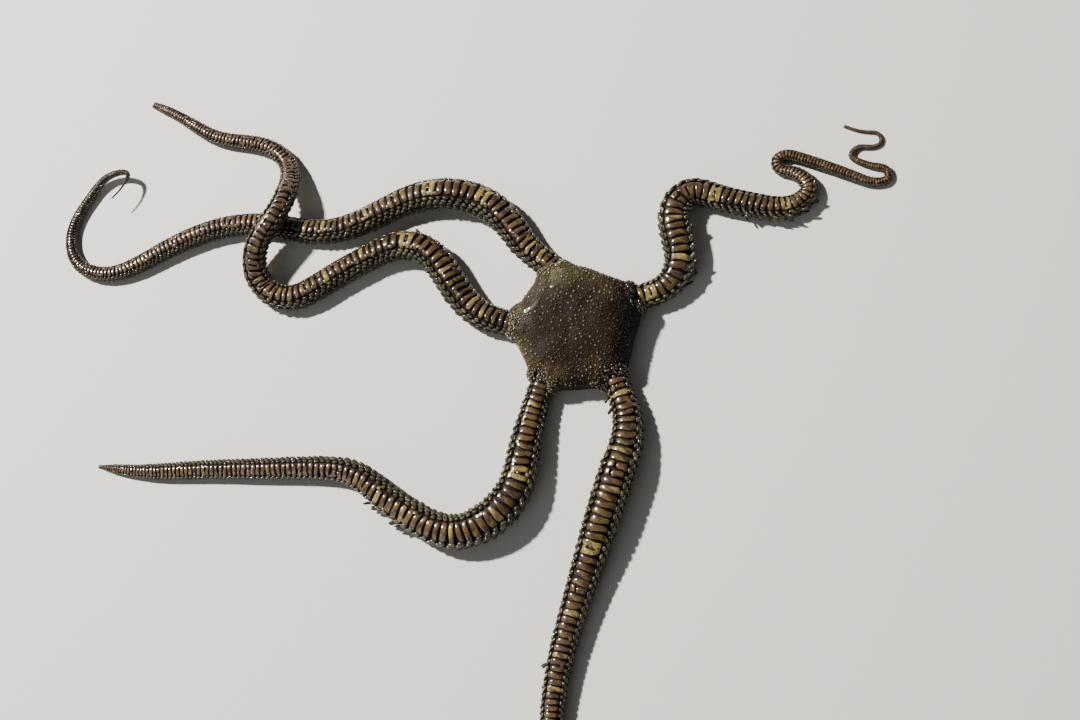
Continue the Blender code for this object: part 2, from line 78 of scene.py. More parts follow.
# Each arm's route and widths, as in the solids; how far its plates are turned round it, in degrees
# clockwise as seen from the disc, at shares of its length; how much of a segment its back plates
# fill, how many of them are linked to the next, and the angle from the top to their ends; its
# pale plates, by the length along it; and its splayed spines, by length and side.
ARMS = [
    dict(
        route=[
            (-4.5, 12, 0), (-8.7, 15.6, 0), (-13.8, 22.2, 0.5), (-21, 26, 0.8), (-30, 26, 0.3),
            (-38, 23, 0), (-46, 21, 0), (-57, 22.9, 0), (-64, 23.3, 0), (-78, 19.1, 0),
            (-90, 15.6, 0), (-94.8, 18.2, 0), (-96.3, 24, 0), (-93, 31, 0.3), (-88, 35, 1.4),
            (-85, 34.3, 2.6), (-85.6, 31.8, 3.4), (-87.6, 29.4, 3.6),
        ],
        widths=[
            (0, 4.7), (0.06, 5.3), (0.13, 5.8), (0.2, 5.7), (0.27, 5.1), (0.34, 4.7), (0.5, 4.1),
            (0.63, 3.5), (0.7, 3), (0.79, 2.3), (0.87, 1.8), (0.93, 1.2), (0.955, 0.9), (0.975, 0.4),
            (1, 0.3),
        ],
        roll=[(0, 10), (0.1, 18), (0.4, 18), (0.6, 10), (1, 0)],
        packing=0.77,
        linked=0.3,
        back=37,
        pale=[2.4, 4.9, 16.9, 18.1, 27.2, 28.5, 40, 48.7, 51.6],
        splayed=[],
    ),
    dict(
        route=[
            (-12.2, 1.7, 0), (-17.2, 3.7, 0), (-22.9, 10.4, 0.4), (-26.8, 15.5, 0.7),
            (-31.7, 17.2, 0.5), (-37.5, 15.7, 0), (-46.5, 11.1, 0), (-52.8, 8.7, 0), (-57.3, 10.6, 0.3),
            (-59, 14.5, 1.8), (-57.7, 19.2, 3.7), (-55.4, 22.6, 4.3), (-53.5, 26.6, 3.6),
            (-53.1, 31, 1.4), (-54.6, 35.5, 0), (-59.3, 38.9, 0), (-67.7, 41, 0), (-76, 46, 0),
            (-81.5, 49, 0),
        ],
        widths=[
            (0, 4.8), (0.05, 5.2), (0.11, 5.5), (0.17, 5.5), (0.23, 5.3), (0.3, 4.9), (0.41, 4.8),
            (0.5, 4.6), (0.58, 4.3), (0.66, 4), (0.73, 3.4), (0.8, 3), (0.86, 2.7), (0.905, 2.4),
            (0.95, 1.9), (0.98, 1.6), (1, 1.2),
        ],
        roll=[(0, 10), (0.1, 18), (0.35, 18), (0.5, 5), (1, 0)],
        packing=0.77,
        linked=0.3,
        back=38,
        pale=[5.4, 6.8, 15.6, 24.2, 25.3, 33.8, 41],
        splayed=[(23.4, 1)],
    ),
    dict(
        route=[
            (-6.4, -10.3, 0), (-7.6, -14.5, 0), (-9.1, -21, 0.3), (-11.1, -28.8, 0.5),
            (-15.8, -33.7, 0.3), (-22.3, -35.3, 0), (-28, -32.8, 0), (-34.8, -28, 0),
            (-39.8, -24.3, 0), (-46, -23, 0), (-57, -22.7, 0), (-68, -22.4, 0),
            (-80, -22.2, 0), (-88.5, -20.9, 0),
        ],
        widths=[
            (0, 4.6), (0.09, 5.5), (0.17, 6.3), (0.23, 6.8), (0.3, 6.4), (0.38, 5.6), (0.46, 5.2),
            (0.58, 4.3), (0.73, 3.6), (0.85, 3.1), (0.89, 2.8), (0.92, 2.4), (0.96, 1.8), (0.98, 1.2),
            (1, 0.6),
        ],
        roll=[(0, -8), (0.3, -12), (0.45, -20), (1, -16)],
        packing=0.84,
        linked=0.06,
        back=35,
        pale=[3.4, 14.9, 16.1, 23.8, 31.3, 32.4, 41.7, 46.5],
        splayed=[(40.5, -1), (41.6, -1), (45.8, -1), (47, -1)],
    ),
    dict(
        route=[
            (7.1, -10.2, 0), (8.7, -15, 0), (9, -19, 0.2), (7.3, -25.5, 0.5), (4.5, -34, 0.4),
            (1, -44.3, 0), (-2.2, -54.5, 0), (-4.2, -64.5, 0), (-4.4, -72, 0), (-2.2, -81, 0),
            (0.8, -90, 0), (0.2, -98, 0), (-4, -104.5, 0), (-9, -108, 0),
        ],
        widths=[
            (0, 4.7), (0.08, 5.5), (0.16, 6.5), (0.23, 6.4), (0.3, 5.8), (0.4, 4.9), (0.57, 4.1),
            (0.8, 2.6), (0.92, 1.3), (1, 0.5),
        ],
        roll=[(0, -2), (1, -1)],
        packing=0.87,
        linked=0.06,
        back=37,
        pale=[1.9, 12.2, 13.4, 19.9, 29.7, 31.4, 41, 48.6, 54.5],
        splayed=[(1.6, 1), (3, 1), (50, 1)],
    ),
    dict(
        route=[
            (12, 5.5, 0), (16.4, 7.4, 0), (18.5, 11, 0.3), (17.9, 17, 0.5), (17.8, 21, 0.5),
            (20.2, 23.9, 0.3), (25.5, 23, 0), (32, 21, 0), (36.5, 20.3, 0), (40, 21.4, 0),
            (41.5, 23.8, 0), (40.3, 26.1, 0), (38.2, 27.3, 0), (36.4, 28.1, 0), (36.1, 29.4, 0),
            (37.3, 30.3, 0), (39.7, 29.9, 0), (44.3, 28, 0), (50, 25.4, 0), (53.4, 24.4, 0),
            (55.2, 25.1, 0), (55.1, 26.5, 0), (53.2, 27.4, 0), (50.6, 28.4, 0), (49.1, 29.8, 0),
            (50.2, 31.1, 0), (52.6, 31.1, 0), (54.3, 31.9, 0), (54, 33.4, 0), (52, 34, 0),
            (48, 35.4, 0),
        ],
        widths=[
            (0, 4.6), (0.07, 5.2), (0.14, 5.7), (0.2, 5.4), (0.28, 4.8), (0.37, 4.5), (0.44, 3.8),
            (0.49, 2.9), (0.54, 2.2), (0.62, 2.1), (0.7, 2), (0.77, 1.5), (0.83, 1.2), (1, 0.6),
        ],
        roll=[(0, 5), (0.15, 10), (0.27, 4), (0.35, -14), (0.5, -8), (1, 0)],
        packing=0.84,
        linked=0.08,
        back=39,
        pale=[0.6, 1.6, 9.2, 17.3, 27.2, 28.4, 39.9, 41],
        splayed=[(6.5, 1), (7.6, 1), (8.6, 1), (14, 1), (34, 1), (38, 1), (39.5, 1), (41, 1), (43, 1),
                 (44.5, 1)],
    ),
]

# Segments of an arm: the pitch is the greater of two straight lines over the width, up to a limit
PITCH_WIDE = (0.3, -0.2)
PITCH_SLIM = (0.2, 0.15)
PITCH_MOST = 1.38
FIRST_SEGMENT = -0.9  # under the edge of the disc

# Depths and heights over an arm's surface, as shares of its width
SKIN_DEPTH = 0.06
SIDE_DEPTH = 0.015  # more of it under the spines
SIDE_BAND = (56, 64, 124, 136)  # degrees from the top between which it grows and shrinks
SOLE_BEFORE, SOLE_SPAN = 12, 20  # degrees before the sole, and over which the side turns to it
PLATE_SINK = 0.075
SIDE_SINK = 0.1

# On the inner side of a bend, an arm's surface keeps at least a small share of its length
SQUEEZE_FROM = 0.6
SQUEEZE_MORE = 0.25

# Baking map: a strip for each arm, then the disc's two sides
STRIP = 0.075
STRIP_START, STRIP_LENGTH = 0.01, 0.98
STRIP_EDGE, STRIP_USED = 0.05, 0.9  # of a strip's width
PATCH = 0.003
DISC_SQUARE = 0.46
DISC_TOP_AT, DISC_UNDER_AT, DISC_ROW_AT = 0.25, 0.75, 0.75

FLOOR_GAP = 0.005  # left under whatever would reach the floor


def srgb(red, green, blue):
    """A linear colour from the values that a picture shows, from 0 to 255."""
    values = [value / 255 for value in (red, green, blue)]
    return tuple(((v + 0.055) / 1.055) ** 2.4 if v > 0.04045 else v / 12.92 for v in values)


GAP_COLOUR = srgb(26, 17, 21)
PLATE_BROWN = srgb(82, 61, 36)
PLATE_OLIVE = srgb(91, 76, 33)
PLATE_PURPLE = srgb(52, 34, 34)
PLATE_MAUVE = srgb(94, 73, 55)
PLATE_YELLOW = srgb(118, 104, 48)
PLATE_TAN = srgb(146, 129, 70)
LATERAL_GREEN = srgb(38, 44, 28)
LATERAL_GREY = srgb(78, 75, 55)
SPINE_GREEN = srgb(29, 34, 22)
SPINE_PALE = srgb(92, 92, 68)
DISC_BROWN = srgb(42, 28, 15)
GRAIN_PALE = srgb(158, 149, 134)
VENTRAL_PALE = srgb(150, 132, 88)


def unit(vectors):
    return vectors / np.maximum(np.linalg.norm(vectors, axis=-1, keepdims=True), 1e-9)


def mix(first, second, share):
    share = np.asarray(share)[..., None]
    return np.array(first) * (1 - share) + np.array(second) * share


def pick(chosen, *arrays):
    """The chosen entries of each of some arrays."""
    return [values[chosen] for values in arrays]


def angle_off(turn, middle):
    """How far a direction is from another, in radians from -pi to pi."""
    return (turn - middle + math.pi) % math.tau - math.pi


def turned_place(turn, away, aside):
    """The place at a distance from the middle in a direction, and at another beside it."""
    x = away * math.cos(turn) - aside * math.sin(turn)
    y = away * math.sin(turn) + aside * math.cos(turn)
    return x, y


def along_and_across(points, turn):
    """How far places lie in a direction from the middle, and how far beside it."""
    x, y = points[..., 0], points[..., 1]
    return x * math.cos(turn) + y * math.sin(turn), y * math.cos(turn) - x * math.sin(turn)


def noise_at(points, scale):
    values = [noise.noise(Vector(point) * scale) for point in points.reshape(-1, 3)]
    return np.array(values).reshape(points.shape[:-1])


def above_floor(points):
    """The points, with those that would be too low set just over the floor."""
    points[..., 2] = np.maximum(points[..., 2], FLOOR_GAP)
    return points


def steady_values(knots, values, places):
    """Values of a cubic that never overshoots its knots."""
    values = np.array(values, float)
    steps = np.diff(values) / np.diff(knots)
    slopes = np.zeros(len(values))
    for i in range(1, len(values) - 1):
        if steps[i - 1] * steps[i] > 0:
            slopes[i] = 2 / (1 / steps[i - 1] + 1 / steps[i])
    span = np.clip(np.searchsorted(knots, places, side="right") - 1, 0, len(knots) - 2)
    gap = knots[span + 1] - knots[span]
    t = (places - knots[span]) / gap
    ends = (2 * t**3 - 3 * t**2 + 1) * values[span] + (3 * t**2 - 2 * t**3) * values[span + 1]
    return ends + ((t**3 - 2 * t**2 + t) * slopes[span] + (t**3 - t**2) * slopes[span + 1]) * gap


def smooth_values(knots, values, places):
    """Values of the natural cubic spline."""
    count = len(knots)
    gaps = np.diff(knots)[:, None]
    steps = np.diff(values, axis=0) / gaps
    system = np.eye(count)
    right = np.zeros(values.shape)
    for i in range(1, count - 1):
        system[i, i - 1:i + 2] = gaps[i - 1, 0], 2 * (gaps[i - 1, 0] + gaps[i, 0]), gaps[i, 0]
        right[i] = 6 * (steps[i] - steps[i - 1])
    bends = np.linalg.solve(system, right)
    span = np.clip(np.searchsorted(knots, places, side="right") - 1, 0, count - 2)
    gap = gaps[span]
    b = (places[:, None] - knots[span][:, None]) / gap
    a = 1 - b
    straight = a * values[span] + b * values[span + 1]
    return straight + ((a**3 - a) * bends[span] + (b**3 - b) * bends[span + 1]) * gap**2 / 6


class Arm:
    """The surface of one arm: points by the length along it, the angle from its top and a height."""

    STEP = 0.05

    def __init__(self, number, route, widths, roll, packing, linked, back, pale, splayed):
        self.number = number
        self.packing = packing
        self.linked = linked
        self.back = back
        self.pale = pale
        self.splayed = splayed
        points = np.array(route, float)
        chords = np.linalg.norm(np.diff(points[:, :2], axis=0), axis=1)
        knots = np.concatenate([[0], np.cumsum(chords)])
        places = np.linspace(0, knots[-1], int(knots[-1] / self.STEP))
        flat = smooth_values(knots, points[:, :2], places)
        level = steady_values(knots, points[:, 2], places)
        line = np.column_stack([flat, level])
        steps = np.linalg.norm(np.diff(line, axis=0), axis=1)
        self.places = np.concatenate([[0], np.cumsum(steps)])
        self.length = self.places[-1]
        self.line = line
        self.along = unit(np.gradient(line, self.places, axis=0))
        self.right = unit(np.cross(self.along, (0, 0, 1)))
        self.up = np.cross(self.right, self.along)
        headings = np.unwrap(np.arctan2(self.along[:, 1], self.along[:, 0]))
        self.turning = np.gradient(headings, self.places)
        self.widths, self.rolls = [self.by_share(pairs) for pairs in (widths, roll)]

    def by_share(self, pairs):
        """Values all along the arm, from pairs of a share of its length and a value."""
        shares, values = np.array(pairs, float).T
        return steady_values(shares * self.length, values, self.places)

    def read(self, values, place):
        """Values along the arm at any place, carried straight on before its root."""
        place = np.asarray(place, float)
        if values.ndim == 1:
            return np.interp(place, self.places, values)
        return np.stack([np.interp(place, self.places, values[:, i]) for i in range(3)], axis=-1)

    def width(self, place):
        return self.read(self.widths, place)

    def surface(self, place, angle, height):
        """Points of the arm; angles are degrees from the top, clockwise as seen from the disc."""
        place, angle, height = np.broadcast_arrays(place, angle, height)
        angle = (angle + 180) % 360 - 180
        turn = np.radians(angle)
        width = self.width(place)
        half = width / 2
        tall = width * ARM_HEIGHT
        waist = tall * WAIST
        sole = math.radians(SOLE_ANGLE)
        radius = np.where(np.abs(angle) <= 90, tall - waist, -waist / math.cos(sole))
        across = half * np.sin(turn)
        rise = waist + radius * np.cos(turn)
        across = self.squeeze(place, across)
        facing = unit(np.stack([np.sin(turn) / half, np.cos(turn) / radius], axis=-1))
        under = np.clip((np.abs(angle) - SOLE_ANGLE) / (180 - SOLE_ANGLE), 0, 1)
        flat = np.abs(angle) > SOLE_ANGLE
        across = np.where(flat, half * math.sin(sole) * (1 - under) * np.sign(angle), across)
        rise = np.where(flat, 0, rise)
        level = np.clip((np.abs(angle) - SOLE_ANGLE + SOLE_BEFORE) / SOLE_SPAN, 0, 1)[..., None]
        facing = unit(facing * (1 - level) - level * np.array([0, 1]))
        out, lift = facing[..., 0], facing[..., 1]
        beyond = np.minimum(place, 0)[..., None] * self.along[0]
        base = self.read(self.line, place) + beyond
        right, up = self.read(self.right, place), self.read(self.up, place)
        side = (across + out * height)[..., None] * right
        return base + side + (rise + lift * height)[..., None] * up

    def squeeze(self, place, across):
        """Draws in the inner side of a tight bend, so that it doesn't fold over itself."""
        turning = self.read(self.turning, place)
        inner = np.maximum(-across * turning, 1e-9)
        excess = np.maximum(inner - SQUEEZE_FROM, 0)
        kept = np.minimum(inner, SQUEEZE_FROM) + SQUEEZE_MORE * np.tanh(excess / SQUEEZE_MORE)
        return across * np.where(inner > SQUEEZE_FROM, kept / inner, 1)

    def room(self, place, angle):
        """How much of its length is left to a segment on one side of a bend, from 0 to more than 1."""
        across = self.squeeze(place, self.width(place) / 2 * np.sin(np.radians(angle)))
        return 1 + across * self.read(self.turning, place)

    def turned(self, place, angle):
        """The angle at which a plate lies once the arm is rolled; its underside stays where it is."""
        return angle + self.read(self.rolls, place) * (1 + np.cos(np.radians(angle))) / 2

    def segments(self):
        """Starts and pitches of the segments, from the root to the tip."""
        starts = [FIRST_SEGMENT]
        while starts[-1] < self.length:
            width = float(self.width(starts[-1]))
            wide = PITCH_WIDE[0] * width + PITCH_WIDE[1]
            slim = PITCH_SLIM[0] * width + PITCH_SLIM[1]
            starts.append(starts[-1] + min(max(wide, slim), PITCH_MOST))
        starts = np.array(starts)
        reach = (starts - FIRST_SEGMENT) * (self.length - FIRST_SEGMENT)
        starts = FIRST_SEGMENT + reach / (starts[-1] - FIRST_SEGMENT)
        return starts[:-1], np.diff(starts)

    def strip_place(self, place, share):
        """A place on the arm's strip of the baking map, by the length and a share of its width."""
        u = STRIP_START + np.clip(np.asarray(place) / self.length, 0, 1) * STRIP_LENGTH
        v = STRIP * (self.number + STRIP_EDGE + STRIP_USED * share)
        return np.stack(np.broadcast_arrays(u, v), axis=-1)

    def map_place(self, place, angle):
        """Where a point of the arm lies on the baking map."""
        return self.strip_place(place, (np.asarray(angle) + 180) % 360 / 360)


def new_object(name, data):
    obj = bpy.data.objects.new(name, data)
    bpy.context.scene.collection.objects.link(obj)
    return obj


def add_tint(mesh, colours):
    """Gives each point of a mesh its colour."""
    tint = mesh.attributes.new("tint", "FLOAT_COLOR", "POINT")
    values = np.hstack([colours, np.ones((len(colours), 1))])
    tint.data.foreach_set("color", values.reshape(-1).astype(np.float32))


def add_map(mesh, places):
    """Gives each corner of a mesh's faces its place on the baking map."""
    uvs = mesh.uv_layers.new(name="OFBake")
    uvs.data.foreach_set("uv", np.array(places, np.float32).reshape(-1))


def side_turns(sides):
    return math.tau * (np.arange(sides) + 0.5) / sides


class Coat:
    """One piece of many small closed forms, each of rings of points between two end points."""

    def __init__(self, sides, rings):
        self.sides = sides
        self.rings = len(rings)
        self.count = sides * self.rings + 2
        self.parts = []

    def faces(self):
        """The faces of one form."""
        faces = []
        last = 2 + (self.rings - 1) * self.sides
        for i in range(self.sides):
            after = (i + 1) % self.sides
            faces.append((0, 2 + after, 2 + i))
            for low in range(2, last, self.sides):
                high = low + self.sides
                faces.append((low + i, low + after, high + after))
                faces.append((low + i, high + after, high + i))
            faces.append((1, last + i, last + after))
        return np.array(faces)

    def patch(self):
        """Places of a form's points on its own patch of the baking map."""
        turns = side_turns(self.sides)
        shares = (np.arange(self.rings)[:, None] + 1) / self.rings
        rings = np.stack([shares * np.cos(turns), shares * np.sin(turns)], axis=-1)
        return np.concatenate([np.zeros((2, 2)), rings.reshape(-1, 2)])

    def add(self, points, colours, centres):
        """Forms by their points, with a colour for each form or point, and their places on the map."""
        if colours.ndim == 2:
            colours = colours[:, None]
        self.parts.append((points, np.broadcast_to(colours, points.shape), centres))

    def make(self, name, material):
        points, colours, centres = [np.concatenate(part) for part in zip(*self.parts)]
        firsts = np.arange(len(points)) * self.count
        corners = (self.faces()[None] + firsts[:, None, None]).reshape(-1)
        mesh = bpy.data.meshes.new(name)
        mesh.vertices.add(len(points) * self.count)
        mesh.vertices.foreach_set("co", (points.reshape(-1) * MM).astype(np.float32))
        mesh.loops.add(len(corners))
        mesh.loops.foreach_set("vertex_index", corners.astype(np.int32))
        mesh.polygons.add(len(corners) // 3)
        mesh.polygons.foreach_set("loop_start", np.arange(0, len(corners), 3, dtype=np.int32))
        add_tint(mesh, colours.reshape(-1, 3))
        places = np.clip(centres[:, None] + self.patch() * PATCH / 2, 0, 1).reshape(-1, 2)
        add_map(mesh, places[corners])
        mesh.update()
        mesh.validate()
        mesh.shade_smooth()
        mesh.materials.append(material)
        return new_object(name, mesh)


# Small forms: their sides, and their rings from the top down, as shares of the outline and height;
# those of a spine by the length along it and its radius; and how bright each ring is, a painted shade
# that darkens their rims and undersides in the gaps between them
PAD_SIDES = 16
SMALL_SIDES = 10  # of the plates on an arm's sides and underside
WAVE_TURNS = 4.2  # how many radians of the wave an edge has from its middle to its end
PAD_RINGS = [(0.5, 0.985), (0.79, 0.89), (0.94, 0.55), (1.0, 0.0), (0.92, -1.0)]
RIM_SHADES = [1.0, 0.9, 0.65, 0.4, 0.3]
END_SHADES = (1, 0.3)
GRAIN_SIDES = 6
GRAIN_RINGS = [(0.72, 0.72), (1.0, 0.0)]
SCALE_SIDES = 10
SCALE_RINGS = [(0.5, 0.93), (0.84, 0.62), (1.0, 0.0)]
SCALE_SHADES = [1.0, 0.75, 0.35]
SCALE_END_SHADES = (1, 0.3)
SPINE_SIDES = 6
SPINE_RINGS = [(0.06, 0.6), (0.4, 0.88), (0.76, 1.0), (0.94, 0.62)]
SPINE_STEP = 0.03  # over which a spine's direction is measured
SPINE_CURVE = 1.2  # the power of its rise along its length


def outline(count, sides, square, wobble, source):
    """Rounded outlines, each a little different, as their two coordinates from -1 to 1."""
    turns = side_turns(sides)
    phases = source.uniform(0, math.tau, (2, count, 1))
    size = 1 + wobble * (np.sin(2 * turns + phases[0]) + 0.7 * np.sin(3 * turns + phases[1]))
    a = np.sign(np.cos(turns)) * np.abs(np.cos(turns)) ** square * size
    b = np.sign(np.sin(turns)) * np.abs(np.sin(turns)) ** square * size
    return a, b


def ring_values(ends, values, sides):
    """A value for each point of a form: those of its two ends, then one for each ring."""
    return np.array([*ends] + [value for value in values for _ in range(sides)])


def domes(count, sides, rings, square, wobble, source):
    """Domed forms, as their points' two coordinates and their height, from -1 to 1."""
    outlines = outline(count, sides, square, wobble, source)
    shares = ring_values((0, 0), [ring[0] for ring in rings], sides)
    rises = ring_values((1, -1), [ring[1] for ring in rings], sides)
    ends = np.zeros((count, 2))
    a, b = [np.concatenate([ends] + [values] * len(rings), axis=1) * shares for values in outlines]
    return a, b, rises


def pad_points(arm, place, angle, half_length, half_angle, low, high, source, tilt=0.0, square=0.62,
               wobble=0.03, bow=0.0, sink=-PLATE_SINK, skew=0.0, taper=0.0, waist=0.0, wave=0.0,
               sides=PAD_SIDES):
    """Domed plates on an arm. Heights are shares of the arm's width there, the tilt's too."""
    count = len(place)
    a, b, rises = domes(count, sides, PAD_RINGS, square, wobble, source)
    low, high, half_length, half_angle = [np.broadcast_to(value, count)[:, None]
                                          for value in (low, high, half_length, half_angle)]
    height = np.where(rises < 0, sink, low + (high - low) * rises + tilt * a)
    lean = source.uniform(-skew, skew, (count, 1))
    wedge = source.uniform(-taper, taper, (count, 1))
    a = a * (1 + wedge * b + waist * (b**2 - 0.5))
    ripple = wave * np.sin(WAVE_TURNS * b + source.uniform(0, math.tau, (count, 1)))
    places = place[:, None] + half_length * (a + bow * (1 - b**2) + lean * b + ripple)
    width = arm.width(place)[:, None]
    return arm.surface(places, angle[:, None] + half_angle * b, height * width)


def spine_points(arm, root, length, angle, fan, radius, low, high, flat=0.85):
    """Spines that leave the arm at a root and lie along it towards its tip."""
    at, size = np.array([(0, 0), (1, 0)] + SPINE_RINGS).T
    count = len(root)
    width = arm.width(root)[:, None]
    length, fan, radius, low, high = [np.broadcast_to(value, count)[:, None]
                                      for value in (length, fan, radius, low, high)]

    def middle(t, more=0.0):
        rise = (low + (high - low) * np.clip(t, 0, 2) ** SPINE_CURVE) * width
        return arm.surface(root[:, None] + length * t, angle[:, None] + fan * t, rise + more)

    along = unit(middle(at + SPINE_STEP) - middle(at - SPINE_STEP))
    normal = unit(middle(at, SPINE_STEP) - middle(at, -SPINE_STEP))
    side = unit(np.cross(along, normal))
    normal = np.cross(side, along)
    centre = middle(at)
    turns = side_turns(SPINE_SIDES)[:, None]
    ring = side[:, :, None] * np.cos(turns) + normal[:, :, None] * np.sin(turns) * flat
    points = centre[:, :, None] + ring * (radius * size)[:, :, None, None]
    rings = points[:, 2:].reshape(count, -1, 3)
    return np.concatenate([centre[:, :2], rings], axis=1)


class Disc:
    """The surface of the disc: points by direction, ring and height."""

    def __init__(self, arms):
        self.roots = [arm.line[0] for arm in arms]
        self.turns = np.array([math.atan2(root[1], root[0]) % math.tau for root in self.roots])
        gaps = (np.roll(self.turns, -1) - self.turns) % math.tau
        self.middles = self.turns + gaps / 2
        self.profile = np.array(DISC_RINGS)

    def lobe(self, turn):
        """How far a direction points into one of the lobes, from 0 to 1."""
        shares = []
        for root, middle in zip(self.roots, self.turns):
            off = angle_off(turn, middle) * np.linalg.norm(root)
            shares.append(np.exp(-(off / LOBE_HALF_WIDTH) ** LOBE_SIDE_POWER))
        return np.max(shares, axis=0)

    def radius(self, turn):
        off = np.min([np.abs(angle_off(turn, middle)) for middle in self.middles], axis=0)
        edge = np.interp(turn, self.middles, EDGE_RADIUS, period=math.tau) / np.cos(off)
        reaches = [np.linalg.norm(root) + LOBE_REACH for root in self.roots]
        lobe = np.interp(turn, self.turns, reaches, period=math.tau)
        share = self.lobe(turn)
        return edge * (1 - share) + lobe * share

    def base(self, turn, ring):
        turn, ring = np.broadcast_arrays(turn, ring)
        knots = np.arange(len(self.profile), dtype=float)
        share, height, shift = [
            steady_values(knots, self.profile[:, i], ring.reshape(-1)).reshape(ring.shape)
            for i in range(3)
        ]
        radius = self.radius(turn) * share
        level = DISC_HEIGHT * height * (1 - LOBE_DROP * self.lobe(turn) * share**LOBE_POWER)
        x = TOP_SHIFT[0] * shift + radius * np.cos(turn)
        y = TOP_SHIFT[1] * shift + radius * np.sin(turn)
        return np.stack([x, y, level], axis=-1)

    def normal(self, turn, ring):
        ring = np.clip(ring, POLE_RING, len(self.profile) - 1 - POLE_RING)
        around = self.base(turn + DISC_STEP, ring) - self.base(turn - DISC_STEP, ring)
        upward = self.base(turn, ring + DISC_STEP) - self.base(turn, ring - DISC_STEP)
        return unit(np.cross(unit(around), unit(upward)))

    def surface(self, turn, ring, height):
        points = self.base(turn, ring)
        height = np.asarray(height, float) + self.relief(points)
        return points + self.normal(turn, ring) * height[..., None]

    def relief(self, points):
        """Lumps and folds of the top, mostly where the arms begin."""
        rise = np.zeros(points.shape[:-1])
        ripple = noise_at(points, FOLD_SCALE)
        for root, fold in zip(self.roots, LUMP_FOLDS):
            outward = root / np.linalg.norm(root)
            across = np.cross(outward, (0, 0, 1))
            for side in (-1, 1):
                middle = root - outward * LUMP_INSET + across * side * LUMP_ASIDE
                away = ((points[..., :2] - middle[:2]) ** 2).sum(-1)
                rise += LUMP_HEIGHT * np.exp(-away / LUMP_RADIUS**2)
            middle = root - outward * LUMP_INSET
            near = np.exp(-((points[..., :2] - middle[:2]) ** 2).sum(-1) / FOLD_RADIUS**2)
            rise += fold * near * ripple
        rise += SWELL_HEIGHT * noise_at(points, SWELL_SCALE)
        return rise * np.clip(points[..., 2] / RELIEF_SPAN - RELIEF_START, 0, 1)

    def under_place(self, x, y):
        """The direction and ring of places on the underside."""
        turn = np.arctan2(y, x) % math.tau
        shares = self.profile[:TOP_RING + 1, 0]
        return turn, np.interp(np.hypot(x, y) / self.radius(turn), shares, range(TOP_RING + 1))

    def mouth(self, points):
        """How deep the mouth and its slits go into the underside."""
        away = np.hypot(points[..., 0], points[..., 1])
        depth = MOUTH["depth"] * np.clip(1 - (away / MOUTH["radius"]) ** MOUTH["power"], 0, 1)
        for turn in self.turns:
            along, across = along_and_across(points, turn)
            span = np.clip((MOUTH["slit_end"] - along) / MOUTH["slit_fade"], 0, 1) * (along > 0)
            inside = np.exp(-(across / MOUTH["slit_half"]) ** MOUTH["power"])
            depth = np.maximum(depth, MOUTH["slit_depth"] * span * inside)
        return depth

    def map_place(self, turn, ring):
        """Where a point of the disc lies on the baking map: the top's square or the underside's."""
        top = ring >= TOP_RING
        last = len(self.profile) - 1
        share = np.where(top, (last - ring) / (last - TOP_RING), ring / TOP_RING)
        u = np.where(top, DISC_TOP_AT, DISC_UNDER_AT) + share * np.cos(turn) * DISC_SQUARE / 2
        v = DISC_ROW_AT + share * np.sin(turn) * DISC_SQUARE / 2
        return np.stack([u, v], axis=-1)


# Mouth, in the middle of the underside, with a slit towards each arm
MOUTH = dict(radius=7, depth=0.3, slit_end=4.4, slit_fade=0.5, slit_half=0.32, slit_depth=0.9, power=4)

# Relief of the disc: two lumps at each arm's root, folds round them and a slight swell all over
LUMP_INSET, LUMP_ASIDE, LUMP_RADIUS, LUMP_HEIGHT = 1.6, 1.9, 1.2, 0.4
LUMP_FOLDS = [0.7, 0.6, 0.6, 0.6, 1.1]
FOLD_RADIUS, FOLD_SCALE = 2.6, 0.85
SWELL_HEIGHT, SWELL_SCALE = 0.16, 0.45
RELIEF_SPAN, RELIEF_START = 1.5, 0.3  # the height over which it grows, and the share left out below

POLE_RING, DISC_STEP = 0.06, 0.01  # how near to a pole, and over what, a normal is measured

# Skin: how finely the disc and the arms are divided, and where an arm's begins inside the disc
SKIN_TURNS = 168
SKIN_RING_STEP = 0.25
UNDER_RING_STEP = 0.08
RING_NUDGE = 1e-6  # so that a ring between the map's two squares is read on the right side
SKIN_EDGE = 0.3  # past the disc's edge, where its colour has given way to the arms'
DISC_SKIN_DEPTH = 0.1
TUBE_SIDES = 24
TUBE_STEP = 0.4
TUBE_FROM = -1.6


def grid_object(name, points, low_map, high_map):
    """A closed object through rings of points, closed by a fan at each end, with its baking map."""
    rings, sides = points.shape[:2]
    verts = np.concatenate([points.reshape(-1, 3), points[:1].mean(1), points[-1:].mean(1)]) * MM
    faces, places = [], []
    for row in range(rings - 1):
        for i in range(sides):
            after = (i + 1) % sides
            low, high = row * sides, (row + 1) * sides
            faces.append((low + i, high + i, high + after, low + after))
            places += [low_map[row, i], high_map[row, i], high_map[row, i + 1], low_map[row, i + 1]]
    for end, centre, ring_map in ((0, rings * sides, low_map[0]),
                                  (rings - 1, rings * sides + 1, high_map[-1])):
        middle = ring_map[:-1].mean(0)
        for i in range(sides):
            after = (i + 1) % sides
            pair = [(end * sides + i, ring_map[i]), (end * sides + after, ring_map[i + 1])]
            if end:
                pair.reverse()
            faces.append((centre, *[index for index, _ in pair]))
            places += [middle, *[place for _, place in pair]]
    mesh = bpy.data.meshes.new(name)
    mesh.from_pydata(verts.tolist(), [], faces)
    add_map(mesh, places)
    return new_object(name, mesh)


def side_share(angle):
    """How far an angle from the top lies in the band of the spines, from 0 to 1."""
    angle = np.abs((angle + 180) % 360 - 180)
    start, full, last, end = SIDE_BAND
    return np.clip((angle - start) / (full - start), 0, 1) * np.clip((end - angle) / (end - last), 0, 1)


